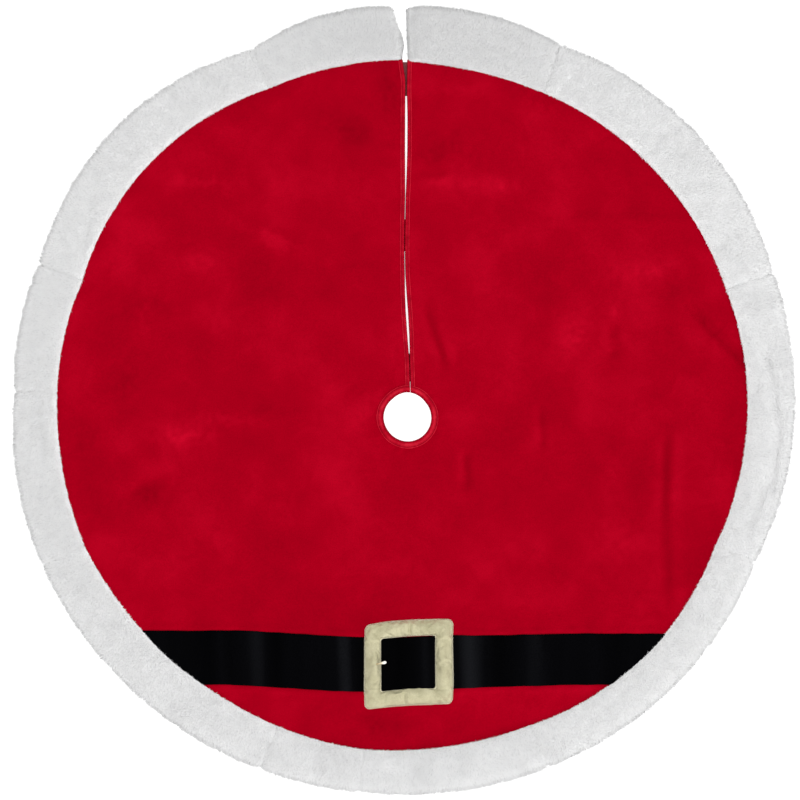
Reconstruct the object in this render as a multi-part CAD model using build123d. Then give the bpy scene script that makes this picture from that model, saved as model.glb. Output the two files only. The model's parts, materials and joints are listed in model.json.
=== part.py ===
from build123d import *
import os
from math import acos, atan2, cos, degrees, radians, sin

# A round tree skirt lying flat: a velvet disc with a plush border, a slit from the neck to the rim, and a
# belt with a padded buckle. Origin: centre of the trunk hole at floor level. +Z up, slit towards +Y.
# Millimetres and degrees throughout.

# ---------------------------------------------------------------- driving dimensions
HOLE_R = 38.0  # trunk hole, which is the inside of the neck binding
NECK_OUTER_R = 49.5  # outer edge of the neck binding
DISC_CENTRE = Vector(-3, 25)  # the outline is laid out about this point, a little behind the hole

LINING_BOTTOM = 2.1  # the closure tabs lie under the lining
LINING_T = 0.8
VELVET_T = 2.0
TAPE_T = 0.9  # folded binding tape
FUR_T = 16.0  # plush border, from the floor to its crown

FOLD_GAP = 0.4  # clearance along each crease, between a flap and the main skirt
SLIT_GAP = 3.8  # clearance between the two flaps
SLIT_BINDING_W = 7.0
CREASE_OFFSET = 33.0  # how far each crease passes from the trunk's axis, so it starts inside the hole
RIGHT_RIM = Vector(237.5, 578)  # where the right crease meets the outer edge
LEFT_RIM = Vector(-238.5, 573)
RIGHT_FUR_W = 80.0  # width of the border at the right crease
LEFT_FUR_W = 68.0

# The middle of the slit, from the neck to the rim. It bends a little.
SLIT_LINE = [(4.3, 20), (3.3, 85), (0, 150), (-3.8, 222), (-3.1, 345), (-1.7, 461), (-2.6, 660)]

# Seams of the border on the main skirt, counter-clockwise from the left crease to the right one:
# angle about DISC_CENTRE, radius of the outer edge, radius of the velvet's edge.
SEAMS = [
    (159.5, 607.0, 535.0),
    (178.5, 607.0, 541.0),
    (204.3, 619.5, 546.5),
    (248.5, 614.0, 542.0),
    (263.1, 611.0, 545.0),
    (291.2, 609.5, 539.5),
    (335.1, 598.0, 530.0),
    (379.2, 605.5, 526.5),
]
# The same two radii half way along each border piece.
BULGES = [
    (617.5, 541.0),
    (609.5, 539.0),
    (615.0, 543.0),
    (618.0, 541.0),
    (613.5, 543.5),
    (610.5, 540.5),
    (608.0, 542.0),
    (605.0, 531.0),
    (614.0, 526.5),
]
FLAP_BULGES = {"right": (78.0, 612.0, 522.5), "left": (102.0, 612.0, 529.0)}  # angle, then the two radii
# Slit end of each flap's border: from the velvet's edge out to the corner.
FLAP_ENDS = {
    "right": [(-0.6, 551.5), (-1.6, 584), (-3.0, 637.5)],
    "left": [(-7.8, 554), (-7.8, 582), (-20.0, 636.5)],
}
FLAP_CORNER_R = {"right": 6.0, "left": 13.0}
SEAM_NOTCH_R = 6.0  # rounding of the border pieces' outer corners
CROWN_R = 6.5
HEM_R = 3.0

BELT_T = 1.0
BELT_TOP = [(-430, -336), (-200, -335.5), (-85, -342), (100, -341), (250, -337), (430, -336)]
BELT_BOTTOM = [(-430, -421), (-200, -421), (-110, -426.5), (90, -422), (250, -417), (430, -418)]

BUCKLE_PLACE = Location((2, -384, 0), (0, 0, 2.5))
BUCKLE_SIZE = (139.0, 137.0)
WINDOW_SIZE = (85.0, 85.0)
BUCKLE_CORNER_R = 8.0
WINDOW_CORNER_R = 4.0
BUCKLE_TOP = 13.5
BUCKLE_ROUND = 6.0
COVER_T = 0.8

TONGUE_BASE = Vector(-54.5, -385.5)
TONGUE_TIP = Vector(-34.8, -381.4)
TONGUE_BASE_R = 1.3
TONGUE_TIP_R = 3.0
TONGUE_T = 2.6

# Hook-and-loop closures across the slit: place along Y and length along Y.
CLOSURES = {"rim": (524.0, 48.0), "middle": (283.0, 50.0), "neck": (77.0, 44.0)}
TAB_T = 0.6
TAB_REACH = 24.0  # to each side of the slit
TAB_STEP = (-5.0, -2.0)  # across the slit, where a tab steps down from the left lining to the floor
STEP_SHIFT = 0.3  # keeps the step as thick as the rest of the tab
TAPES_FROM = 3.5  # across the slit, to the near and far edges of the hook and loop tapes
TAPES_TO = 23.0
HOOK_T = 0.6
TAPE_MARGIN = 4.0  # a tape is this much shorter than its tab

# ---------------------------------------------------------------- worked out
VELVET_BOTTOM = LINING_BOTTOM + LINING_T
VELVET_TOP = VELVET_BOTTOM + VELVET_T
FAR = 800.0  # beyond the skirt


def polar(radius, angle, centre=Vector(0, 0)):
    return centre + Vector(radius * cos(radians(angle)), radius * sin(radians(angle)))


def crease_foot(rim, way):
    """The point of a crease nearest to the trunk's axis. The crease is at a right angle to it there."""
    turn = degrees(acos(CREASE_OFFSET / rim.length))
    return polar(CREASE_OFFSET, degrees(atan2(rim.Y, rim.X)) - way * turn)


CREASES = {
    "right": (crease_foot(RIGHT_RIM, 1), RIGHT_RIM),
    "left": (crease_foot(LEFT_RIM, -1), LEFT_RIM),
}


def crease_seam(side):
    """The border's two seam points on a crease: at the outer edge and at the velvet's edge."""
    foot, rim = CREASES[side]
    width = RIGHT_FUR_W if side == "right" else LEFT_FUR_W
    return rim, rim - (rim - foot).normalized() * width


def all_seams():
    """Outer and velvet points of every seam of the main skirt, from the left crease to the right one."""
    between = [(polar(r, a, DISC_CENTRE), polar(v, a, DISC_CENTRE)) for a, r, v in SEAMS]
    return [crease_seam("left")] + between + [crease_seam("right")]


def bulge_points():
    """Outer and velvet points half way along each border piece of the main skirt."""
    seams = all_seams()
    points = []
    for (start, end), (outer, velvet) in zip(zip(seams, seams[1:]), BULGES):
        a0 = degrees(atan2(start[0].Y - DISC_CENTRE.Y, start[0].X - DISC_CENTRE.X)) % 360
        a1 = degrees(atan2(end[0].Y - DISC_CENTRE.Y, end[0].X - DISC_CENTRE.X)) % 360
        middle = (a0 + (a1 + 360 if a1 < a0 else a1)) / 2
        points.append((polar(outer, middle, DISC_CENTRE), polar(velvet, middle, DISC_CENTRE)))
    return points


def closed_face(edges):
    return Face(Wire(edges))


def disc(radius):
    return Face(Wire(Edge.make_circle(radius)))


def largest(shape):
    return shape.faces().sort_by(SortBy.AREA)[-1]


def strip(start, end, width):
    """A narrow straight band."""
    side = (end - start).normalized().rotate(Axis.Z, 90) * (width / 2)
    return Face(Wire(Polyline(start - side, end - side, end + side, start + side, close=True).edges()))


def slit_edge(shift):
    """The slit's middle line moved along X."""
    return Spline(*[(x + shift, y) for x, y in SLIT_LINE])


def slit_band(left, right):
    """The area between two copies of the slit's middle line."""
    a, b = slit_edge(left), slit_edge(right)
    return closed_face([a, Line(a @ 1, b @ 1), b, Line(b @ 0, a @ 0)])


def open_creases(face):
    """Cut a flat shape along both creases. Each runs from inside the hole out past the rim."""
    for foot, rim in CREASES.values():
        face = face - strip(foot, foot + (rim - foot).normalized() * FAR, FOLD_GAP)
    return face


def split_by_folds(face, slit_width):
    """Cut a flat shape at both creases and at the slit, into the main skirt, right flap and left flap."""
    face = open_creases(face) - slit_band(-slit_width / 2, slit_width / 2)
    main, *flaps = sorted(face.faces(), key=lambda f: f.center().Y)
    left, right = sorted(flaps, key=lambda f: f.center().X)
    return {"main": main, "right": right, "left": left}


def velvet_outline():
    """The whole disc inside the border, with the slit still closed."""
    seams, bulges = all_seams(), bulge_points()
    edges = [
        ThreePointArc(start[1], middle[1], end[1])
        for start, middle, end in zip(seams, bulges, seams[1:])
    ]
    right_angle, _, right_r = FLAP_BULGES["right"]
    left_angle, _, left_r = FLAP_BULGES["left"]
    top_right = Vector(*FLAP_ENDS["right"][0])
    top_left = Vector(*FLAP_ENDS["left"][0])
    edges.append(ThreePointArc(seams[-1][1], polar(right_r, right_angle, DISC_CENTRE), top_right))
    edges.append(Line(top_right, top_left))
    edges.append(ThreePointArc(top_left, polar(left_r, left_angle, DISC_CENTRE), seams[0][1]))
    return closed_face(edges)


def layer(face, bottom, thickness):
    return Pos(0, 0, bottom) * extrude(face, thickness, dir=(0, 0, 1))


def sheets():
    """The lining and the velvet, each in three pieces. The bindings cover their raw edges."""
    cloth = velvet_outline() - disc(HOLE_R + TAPE_T)
    parts = split_by_folds(cloth, SLIT_GAP + 2 * TAPE_T)
    made = {}
    for where, face in parts.items():
        made[f"lining_{where}"] = layer(face, LINING_BOTTOM, LINING_T)
        made[f"velvet_{where}"] = layer(face, VELVET_BOTTOM, VELVET_T)
    return made


def neck_bindings():
    """Tape folded over the edge of the trunk hole. Its underside is turned in twice and rests on the floor."""
    flange = split_by_folds(disc(NECK_OUTER_R) - disc(HOLE_R), SLIT_GAP)
    wall = split_by_folds(disc(HOLE_R + TAPE_T) - disc(HOLE_R), SLIT_GAP)
    made = {}
    for where in ("main", "right", "left"):
        lower = layer(flange[where], 0, LINING_BOTTOM)
        upper = layer(flange[where], VELVET_TOP, TAPE_T)
        middle = layer(wall[where], LINING_BOTTOM, LINING_T + VELVET_T)
        made[f"neck_binding_{where}"] = lower + middle + upper
    return made


def slit_bindings():
    """Tape along each edge of the slit, from the neck binding to the border: a wall and a top flange."""
    reach = velvet_outline() - disc(NECK_OUTER_R)
    made = {}
    for where, way in (("right", 1), ("left", -1)):
        near = way * SLIT_GAP / 2
        flange = slit_band(near, near + way * SLIT_BINDING_W) & reach
        wall = slit_band(near, near + way * TAPE_T) & reach
        upper = layer(largest(flange), VELVET_TOP, TAPE_T)
        lower = layer(largest(wall), LINING_BOTTOM, LINING_T + VELVET_T)
        made[f"slit_binding_{where}"] = upper + lower
    return made


def plush(face):
    """A border piece with a soft crown and a tighter hem."""
    block = extrude(face, FUR_T, dir=(0, 0, 1))
    block = fillet(block.faces().sort_by(Axis.Z)[-1].edges(), CROWN_R)
    return fillet(block.faces().sort_by(Axis.Z)[0].edges(), HEM_R)


def round_corner(face, corner, radius):
    vertex = face.vertices().sort_by_distance(corner)[0]
    return fillet(vertex, radius)


def main_border():
    """Nine border pieces on the main skirt, sewn end to end."""
    seams = all_seams()
    made = {}
    rows = zip(seams, bulge_points(), seams[1:])
    for number, (start, middle, end) in enumerate(rows, 1):
        outer = ThreePointArc(start[0], middle[0], end[0])
        inner = ThreePointArc(end[1], middle[1], start[1])
        face = closed_face([outer, Line(end[0], end[1]), inner, Line(start[1], start[0])])
        face = largest(open_creases(face))
        for corner in (start[0], end[0]):
            face = round_corner(face, corner, SEAM_NOTCH_R)
        made[f"fur_trim_{number}"] = plush(face)
    return made


def flap_border():
    """The border piece beside the slit on each flap."""
    made = {}
    for side in ("right", "left"):
        angle, outer_r, velvet_r = FLAP_BULGES[side]
        rim, inner_seam = crease_seam(side)
        velvet_end, edge_middle, corner = [Vector(*p) for p in FLAP_ENDS[side]]
        outer = ThreePointArc(corner, polar(outer_r, angle, DISC_CENTRE), rim)
        inner = ThreePointArc(inner_seam, polar(velvet_r, angle, DISC_CENTRE), velvet_end)
        edges = [outer, Line(rim, inner_seam), inner]
        edges += [Line(velvet_end, edge_middle), Line(edge_middle, corner)]
        face = largest(open_creases(closed_face(edges)))
        face = round_corner(face, rim, SEAM_NOTCH_R)
        face = round_corner(face, corner, FLAP_CORNER_R[side])
        made[f"fur_trim_{side}"] = plush(face)
    return made


def belt():
    """The belt strap, laid on the velvet, its ends caught in the border."""
    top = Spline(*BELT_TOP)
    bottom = Spline(*BELT_BOTTOM)
    band = closed_face([top, Line(top @ 1, bottom @ 1), bottom, Line(bottom @ 0, top @ 0)])
    return layer(largest(band & velvet_outline()), VELVET_TOP, BELT_T)


def buckle_frame(inset):
    """A square ring with rounded edges, smaller all round by the inset."""
    outer = RectangleRounded(*[s - 2 * inset for s in BUCKLE_SIZE], BUCKLE_CORNER_R - inset)
    window = RectangleRounded(*[s + 2 * inset for s in WINDOW_SIZE], WINDOW_CORNER_R + inset)
    block = extrude(outer - window, BUCKLE_TOP - VELVET_TOP - inset)
    block = fillet(block.faces().sort_by(Axis.Z)[-1].edges(), BUCKLE_ROUND - inset)
    return Pos(0, 0, VELVET_TOP) * BUCKLE_PLACE * block


def buckle(strap):
    """The padded buckle: a foam frame, its cover, and a small tongue sewn on the left side."""
    padding = buckle_frame(COVER_T) - strap
    cover = buckle_frame(0) - buckle_frame(COVER_T) - strap
    ends = [
        Pos(TONGUE_BASE.X, TONGUE_BASE.Y) * Circle(TONGUE_BASE_R),
        Pos(TONGUE_TIP.X, TONGUE_TIP.Y) * Circle(TONGUE_TIP_R),
    ]
    tongue = layer(make_hull([e for c in ends for e in c.edges()]), BUCKLE_TOP, TONGUE_T)
    tongue = fillet(tongue.faces().sort_by(Axis.Z)[-1].edges(), TONGUE_T / 3)
    return {"buckle_padding": padding, "buckle_cover": cover, "buckle_tongue": tongue}


def slit_x(y):
    """Where the middle of the slit is, at one place along it."""
    rows = list(zip(SLIT_LINE, SLIT_LINE[1:]))
    (x0, y0), (x1, y1) = [row for row in rows if row[0][1] <= y <= row[1][1]][0]
    return x0 + (x1 - x0) * (y - y0) / (y1 - y0)


def closures():
    """Tabs from under the left flap to under the right one, with their loop and hook tapes."""
    raised = LINING_BOTTOM - TAB_T
    high, low = TAB_STEP
    profile = [
        (-TAB_REACH, raised),
        (high, raised),
        (low, 0),
        (TAB_REACH, 0),
        (TAB_REACH, TAB_T),
        (low + STEP_SHIFT, TAB_T),
        (high + STEP_SHIFT, LINING_BOTTOM),
        (-TAB_REACH, LINING_BOTTOM),
    ]
    made = {}
    for name, (y, length) in CLOSURES.items():
        place = Pos(slit_x(y), y, 0)
        side_view = Plane.XZ * make_face(Polyline(*profile, close=True))
        made[f"closure_tab_{name}"] = place * extrude(side_view, length / 2, both=True)
        tape = extrude(Rectangle(TAPES_TO - TAPES_FROM, length - TAPE_MARGIN), HOOK_T)
        middle = (TAPES_TO + TAPES_FROM) / 2
        made[f"loop_tape_{name}"] = place * Pos(middle, 0, TAB_T) * tape
        made[f"hook_tape_{name}"] = place * Pos(middle, 0, LINING_BOTTOM - HOOK_T) * tape
    return made


def assembly():
    strap = belt()
    pieces = sheets() | neck_bindings() | slit_bindings() | main_border() | flap_border()
    return pieces | {"belt_strap": strap} | buckle(strap) | closures()


os.makedirs("parts", exist_ok=True)
for name, solid in assembly().items():
    export_step(solid, f"parts/{name}.step")
for side, (foot, rim) in CREASES.items():
    print(f"{side} crease from ({foot.X:.2f}, {foot.Y:.2f}) to ({rim.X:.2f}, {rim.Y:.2f})")
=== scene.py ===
"""A round velvet tree skirt lying flat on a pale floor, seen from straight above.

Everything is in metres in the frame of the CAD model: origin at the trunk hole's centre on the floor, +Z up,
the slit towards +Y and the belt buckle towards -Y.
"""
import json
import math

import bpy
import numpy as np
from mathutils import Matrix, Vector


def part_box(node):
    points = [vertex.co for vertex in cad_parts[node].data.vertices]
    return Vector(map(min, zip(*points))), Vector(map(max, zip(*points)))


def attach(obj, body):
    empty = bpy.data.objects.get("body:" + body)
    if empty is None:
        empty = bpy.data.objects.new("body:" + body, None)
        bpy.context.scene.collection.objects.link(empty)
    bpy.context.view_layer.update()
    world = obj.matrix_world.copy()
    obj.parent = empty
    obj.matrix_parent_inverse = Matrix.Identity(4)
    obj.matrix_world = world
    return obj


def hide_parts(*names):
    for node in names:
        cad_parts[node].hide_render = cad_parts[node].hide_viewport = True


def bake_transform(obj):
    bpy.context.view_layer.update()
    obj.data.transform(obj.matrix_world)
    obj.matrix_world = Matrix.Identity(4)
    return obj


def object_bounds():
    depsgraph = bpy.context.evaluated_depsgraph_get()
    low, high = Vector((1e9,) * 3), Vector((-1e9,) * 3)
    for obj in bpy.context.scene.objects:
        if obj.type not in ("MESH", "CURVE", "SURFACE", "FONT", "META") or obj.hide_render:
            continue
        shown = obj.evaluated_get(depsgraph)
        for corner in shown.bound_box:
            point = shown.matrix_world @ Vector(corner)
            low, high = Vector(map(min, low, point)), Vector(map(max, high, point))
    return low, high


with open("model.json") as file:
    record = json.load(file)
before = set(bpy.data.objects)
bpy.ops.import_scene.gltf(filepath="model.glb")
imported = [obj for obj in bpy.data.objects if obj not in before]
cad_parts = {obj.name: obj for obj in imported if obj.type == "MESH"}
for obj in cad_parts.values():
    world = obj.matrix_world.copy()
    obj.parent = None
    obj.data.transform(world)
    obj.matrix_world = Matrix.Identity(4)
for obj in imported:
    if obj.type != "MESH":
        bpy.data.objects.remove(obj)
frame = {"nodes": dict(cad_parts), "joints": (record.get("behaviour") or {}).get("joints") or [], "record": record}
cad_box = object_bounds()

MM = 0.001
TAU = 2 * math.pi
MAIN, RIGHT, LEFT = "main_skirt", "right_flap", "left_flap"
BODY_OF = {"main": MAIN, "right": RIGHT, "left": LEFT}

# ---------------------------------------------------------------- what the frame says
CENTRE = np.array([(cad_box[0][k] + cad_box[1][k]) / 2 for k in range(2)])
HOLE_R = next(m for m in frame["record"]["mounts"] if m["name"] == "trunk_hole")["dims"]["r_mm"] * MM
NECK_OUTER_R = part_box("neck_binding_main")[1].x
NECK_CUT_R = HOLE_R + MM  # where velvet and lining stop inside the neck binding
VELVET_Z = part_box("velvet_main")[1].z
FUR_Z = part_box("fur_trim_1")[1].z
FUR_NODES = sorted(n for n in frame["nodes"] if n.startswith("fur_trim"))
CLOSURE_NAMES = ("rim", "middle", "neck")
BUCKLE_CENTRE = np.array([(a + b) / 2 for a, b in zip(*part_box("buckle_cover"))][:2])

# ---------------------------------------------------------------- sizes of what the CAD leaves plain
FOLD_WIDTH = 26 * MM  # how far from its crease a flap has turned fully
SEAM_LAP = 4 * MM  # cloth caught inside the border's seam
LINING_DROP = 2.3 * MM  # from the velvet's face down to the lining
VELVET_LIFT = 0.3 * MM  # the pile's face above the CAD's velvet
BORDER_R = 0.6  # a round radius for turning lengths along the border into angles
FUR_AROUND = 40  # points round a border piece's section
PILE_TOP = 19.3 * MM
PILE_MOST = 22000  # locks in one object
UNDERSIDE = -0.35  # skin whose normal points further down than this is under the border
# Layers of the pile: name, length, half width, locks per square metre, how far they lean.
PILE_LAYERS = [("under", 6.0 * MM, 0.62 * MM, 560000, 0.45), ("over", 8.0 * MM, 0.5 * MM, 540000, 0.65)]
FUR_SOFTNESS = 0.9  # how much the fur is shaded as one soft surface, against lock by lock
BODY_SHADE = 0.85  # painted shade: how light the border's body is between its locks
THREAD_R = 0.28 * MM
STITCH = 2.4 * MM
STITCH_PITCH = 3.0 * MM
NAP_GAIN = 2.4  # how much more strongly the velvet's pile shows a slope than a bare cloth would


def node_points(name):
    """The vertices of a CAD node, as an array."""
    vertices = frame["nodes"][name].data.vertices
    co = np.empty(len(vertices) * 3)
    vertices.foreach_get("co", co)
    return co.reshape(-1, 3)


def angle_of(points, centre=CENTRE):
    """The angle of each point about a centre in plan."""
    return np.arctan2(points[:, 1] - centre[1], points[:, 0] - centre[0])


def radius_of(points, centre=CENTRE):
    """The distance of each point from a centre in plan."""
    return np.hypot(points[:, 0] - centre[0], points[:, 1] - centre[1])


def polar(radius, angle, centre=CENTRE):
    """Points in plan at these radii and angles about a centre."""
    return np.stack([centre[0] + radius * np.cos(angle), centre[1] + radius * np.sin(angle)], axis=-1)


def radial_outline(points):
    """A function from angle to radius about CENTRE, through the outermost of these points.

    Points well inside their neighbours, such as those along the slit, are left out.
    """
    points = np.unique(np.round(points[:, :2], 6), axis=0)
    angle, radius = angle_of(points), radius_of(points)
    apart = np.abs((angle[:, None] - angle[None] + math.pi) % TAU - math.pi)
    beside = np.where(apart < math.radians(2.5), radius[None], 0).max(1)
    keep = radius > beside - 12 * MM
    angle, radius = angle[keep], radius[keep]
    order = np.argsort(angle)
    a, r = angle[order], radius[order]
    return lambda at: np.interp(at, a, r, period=TAU)


def velvet_edge_points():
    """Every point near the rim of the three velvet solids."""
    points = np.concatenate([node_points(f"velvet_{where}") for where in BODY_OF])
    return points[radius_of(points) > 0.45]


velvet_radius = radial_outline(velvet_edge_points())


def fur_wall(name):
    """Points of a border piece's upright wall, below its crown and above its hem, as (inner, outer)."""
    p = node_points(name)
    heights = np.unique(np.round(p[:, 2], 5))
    wall = [z for z in heights if 0.15 * FUR_Z < z < 0.65 * FUR_Z]
    p = p[(p[:, 2] > wall[0] - MM / 10) & (p[:, 2] < wall[-1] + MM / 10)]
    outer = radius_of(p) > velvet_radius(angle_of(p)) + 25 * MM
    inner = radius_of(p) < velvet_radius(angle_of(p)) + 1.5 * MM
    return p[inner], p[outer]


FUR_WALLS = {name: fur_wall(name) for name in FUR_NODES}
fur_radius = radial_outline(np.concatenate([outer for _, outer in FUR_WALLS.values()]))


class Crease:
    """The line a flap folds back on."""

    def __init__(self, joint_name):
        joint = next(j for j in frame["joints"] if j["name"] == joint_name)
        axis = np.array(joint["axis"][:2]) * math.copysign(1, joint["axis"][1])
        self.foot = np.array(joint["pos_m"][:2])
        self.along = axis / np.linalg.norm(axis)
        side = -1 if self.foot[0] > 0 else 1
        self.inward = side * np.array([self.along[1], -self.along[0]])

    def at_radius(self, radius):
        """Where the crease crosses a circle about the trunk's axis."""
        reach = np.sqrt(np.maximum(radius**2 - self.foot @ self.foot, 0))
        return self.foot + np.multiply.outer(reach, self.along)

    def edge_point(self, outline):
        """Where the crease crosses an outline about CENTRE, from 0.3 to 0.75 m along it."""
        steps = np.linspace(0.3, 0.75, 2000)
        points = self.foot + np.outer(steps, self.along)
        outside = radius_of(points) > outline(angle_of(points))
        return points[np.argmax(outside)]

    def blend_ends(self):
        """Where the bend starts and where the flap has turned fully."""
        end = self.foot + self.inward * FOLD_WIDTH
        return (*self.foot, 0.0), (*end, 0.0)


CREASES = {"right": Crease("right_flap_fold"), "left": Crease("left_flap_fold")}


def fit_slit():
    """A smooth x for each y along the middle of the slit, from the walls of the two slit bindings."""
    walls = []
    for side in ("right", "left"):
        p = node_points(f"slit_binding_{side}")
        low = p[p[:, 2] < p[:, 2].min() + MM / 10]
        walls.append(np.polynomial.Polynomial.fit(low[:, 1], low[:, 0], 7))
    return lambda y: (walls[0](y) + walls[1](y)) / 2


slit_middle = fit_slit()
SLIT_END_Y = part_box("slit_binding_right")[1].y


# How far the two bindings stand apart by y: shut at the closures, open a little between them.
SLIT_GAP_AT = np.array([40, 90, 108, 130, 165, 200, 222, 345, 356, 380, 415, 500, 530, 556]) * MM
SLIT_GAP_OPEN = np.array([0.5, 0.5, 1.8, 2.8, 3.2, 1.8, 0.5, 0.5, 1.2, 2.2, 3.4, 3.5, 3.9, 4.9]) * MM


def slit_edge(side, y):
    """Where a binding's edge lies. Near the border both lie a little to the left, the left one more."""
    half_gap = np.interp(y, SLIT_GAP_AT, SLIT_GAP_OPEN) / 2
    if side == "right":
        return slit_middle(y) + half_gap - 1.6 * MM * smooth((y - 460 * MM) / (60 * MM))
    return slit_middle(y) - half_gap - 3.2 * MM * smooth((y - 520 * MM) / (34 * MM))


# ---------------------------------------------------------------- smooth random fields
def noise(x, y, size, seed):
    """A smooth random field from -1 to 1, with lumps about size across."""
    cells = 128
    grid = np.random.default_rng(seed).uniform(-1, 1, (cells, cells))
    u, v = np.asarray(x) / size, np.asarray(y) / size
    i, j = np.floor(u).astype(int), np.floor(v).astype(int)
    fu, fv = u - i, v - j
    fu, fv = fu * fu * (3 - 2 * fu), fv * fv * (3 - 2 * fv)
    i0, j0, i1, j1 = i % cells, j % cells, (i + 1) % cells, (j + 1) % cells
    low = grid[i0, j0] * (1 - fu) + grid[i1, j0] * fu
    high = grid[i0, j1] * (1 - fu) + grid[i1, j1] * fu
    return low * (1 - fv) + high * fv


def smooth(t):
    """0 below 0, 1 above 1, and an even slope between them."""
    t = np.clip(t, 0, 1)
    return t * t * (3 - 2 * t)


def ridge(x, y, start, end, width, height):
    """A soft crease between two points: a bump across it that fades at its ends."""
    a, b = np.array(start) * MM, np.array(end) * MM
    d = b - a
    t = ((x - a[0]) * d[0] + (y - a[1]) * d[1]) / (d @ d)
    c = np.clip(t, 0, 1)
    away = np.hypot(x - a[0] - c * d[0], y - a[1] - c * d[1])
    fade = smooth((t + 0.1) / 0.35) * smooth((1.1 - t) / 0.35)
    return height * MM * np.exp(-((away / (width * MM)) ** 2)) * fade


# ---------------------------------------------------------------- the lie of the cloth
# Creases of the velvet: from, to, half width, height, all in millimetres.
VELVET_CREASES = [
    ((415, -15), (408, -150), 12, 1.7),
    ((409, -120), (417, -310), 14, 1.5),
    ((399, -30), (396, -165), 9, -1.2),
    ((396, -140), (403, -290), 11, -0.9),
    ((425, 186), (532, 80), 9, -3.3),
    ((405, 200), (515, 92), 16, 1.8),
    ((20, 172), (57, 74), 8, -2.2),
    ((34, 176), (70, 78), 9, 1.4),
    ((175, -194), (268, -276), 11, 1.6),
    ((291, -230), (374, -300), 11, 1.6),
    ((86, -53), (92, -112), 8, -1.8),
    ((203, 17), (209, -53), 8, -1.3),
    ((215, 307), (480, 305), 9, 0.55),
    ((-90, 305), (-20, 307), 8, 0.3),
    ((12, 371), (68, 372), 7, 1.0),
    ((-250, 300), (-150, 250), 16, 1.6),
    ((-430, -100), (-360, -130), 16, -1.6),
    ((318, 150), (322, 90), 11, -1.4),
    ((209, 200), (209, 140), 16, -1.0),
    ((-240, 8), (-150, -5), 14, 1.0),
    ((480, -60), (500, -200), 19, 1.6),
]
# Marks where the pile lies another way, and two marks of painted shade and highlight along a crease, in
# millimetres and degrees:
# x, y, half length, half width, turn, and how much lighter (+) or darker (-).
NAP_MARKS = [
    (-349, -30, 48, 17, 0, 0.9),
    (-273, -6, 42, 13, -8, 0.5),
    (-321, 364, 55, 12, -4, 0.65),
    (-215, 277, 62, 13, -25, 0.5),
    (-321, 241, 32, 13, 0, 0.5),
    (262, 129, 30, 20, 60, 0.85),
    (374, 228, 60, 17, 12, 0.55),
    (322, 160, 14, 9, 90, 0.7),
    (80, 363, 46, 10, 0, 0.45),
    (150, 359, 25, 14, 0, 0.55),
    (339, -183, 60, 45, 0, 0.3),
    (-52, 22, 34, 18, 50, 0.5),
    (-300, 150, 40, 22, 0, 0.35),
    (70, 510, 60, 14, 0, 0.3),
    (-437, 53, 50, 28, 90, -0.55),
    (-403, 171, 55, 25, 0, -0.5),
    (-403, -118, 62, 18, 22, -0.6),
    (-97, 452, 50, 22, -20, -0.5),
    (-22, 515, 45, 18, 90, -0.7),
    (68, 417, 60, 28, 0, -0.5),
    (209, 500, 70, 20, -20, -0.5),
    (318, 120, 36, 10, 90, -0.5),
    (-500, -60, 60, 20, 90, -0.4),
    (505, -40, 80, 18, 90, -0.4),
    (-60, -480, 70, 25, 0, -0.35),
    # Painted shade and a painted highlight along the crease from (425, 186) to (532, 80).
    (476, 132, 60, 7, -46, -0.75),
    (462, 112, 50, 12, -46, 0.25),
]


def nap_lie(x, y):
    """How light the pile looks, from 0 to 1, where it has been brushed or pressed, with painted shade and a
    painted highlight along one crease. 0.5 is plain.
    """
    lie = 0.10 * noise(x, y, 0.11, 8) + 0.10 * noise(x, y, 0.04, 9)
    grain = 0.65 + 0.45 * noise(x, y, 0.007, 10)
    for cx, cy, length, width, turn, shade in NAP_MARKS:
        c, s = math.cos(math.radians(turn)), math.sin(math.radians(turn))
        dx, dy = x - cx * MM, y - cy * MM
        u, v = (dx * c + dy * s) / (length * MM), (dy * c - dx * s) / (width * MM)
        lie = lie + 0.5 * shade * np.exp(-(u * u) - v * v) * grain
    return np.clip(0.5 + lie, 0, 1)


def belt_edges():
    """Functions for y along the belt's top and bottom edges."""
    p = node_points("belt_strap")
    middle = (p[:, 1].min() + p[:, 1].max()) / 2
    rows = []
    for keep in (p[:, 1] > middle + 30 * MM, p[:, 1] < middle - 30 * MM):
        q = p[keep]
        q = q[np.abs(q[:, 0]) < 0.30]
        order = np.argsort(q[:, 0])
        rows.append((q[order, 0], q[order, 1]))
    return [lambda x, r=r: np.interp(x, *r) for r in rows]


belt_top_edge, belt_bottom = belt_edges()


def belt_top(x):
    """The belt's top edge, pulled up a little under the right of the buckle."""
    return belt_top_edge(x) + 2.6 * MM * np.exp(-(((x - 62 * MM) / (42 * MM)) ** 2))


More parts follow.
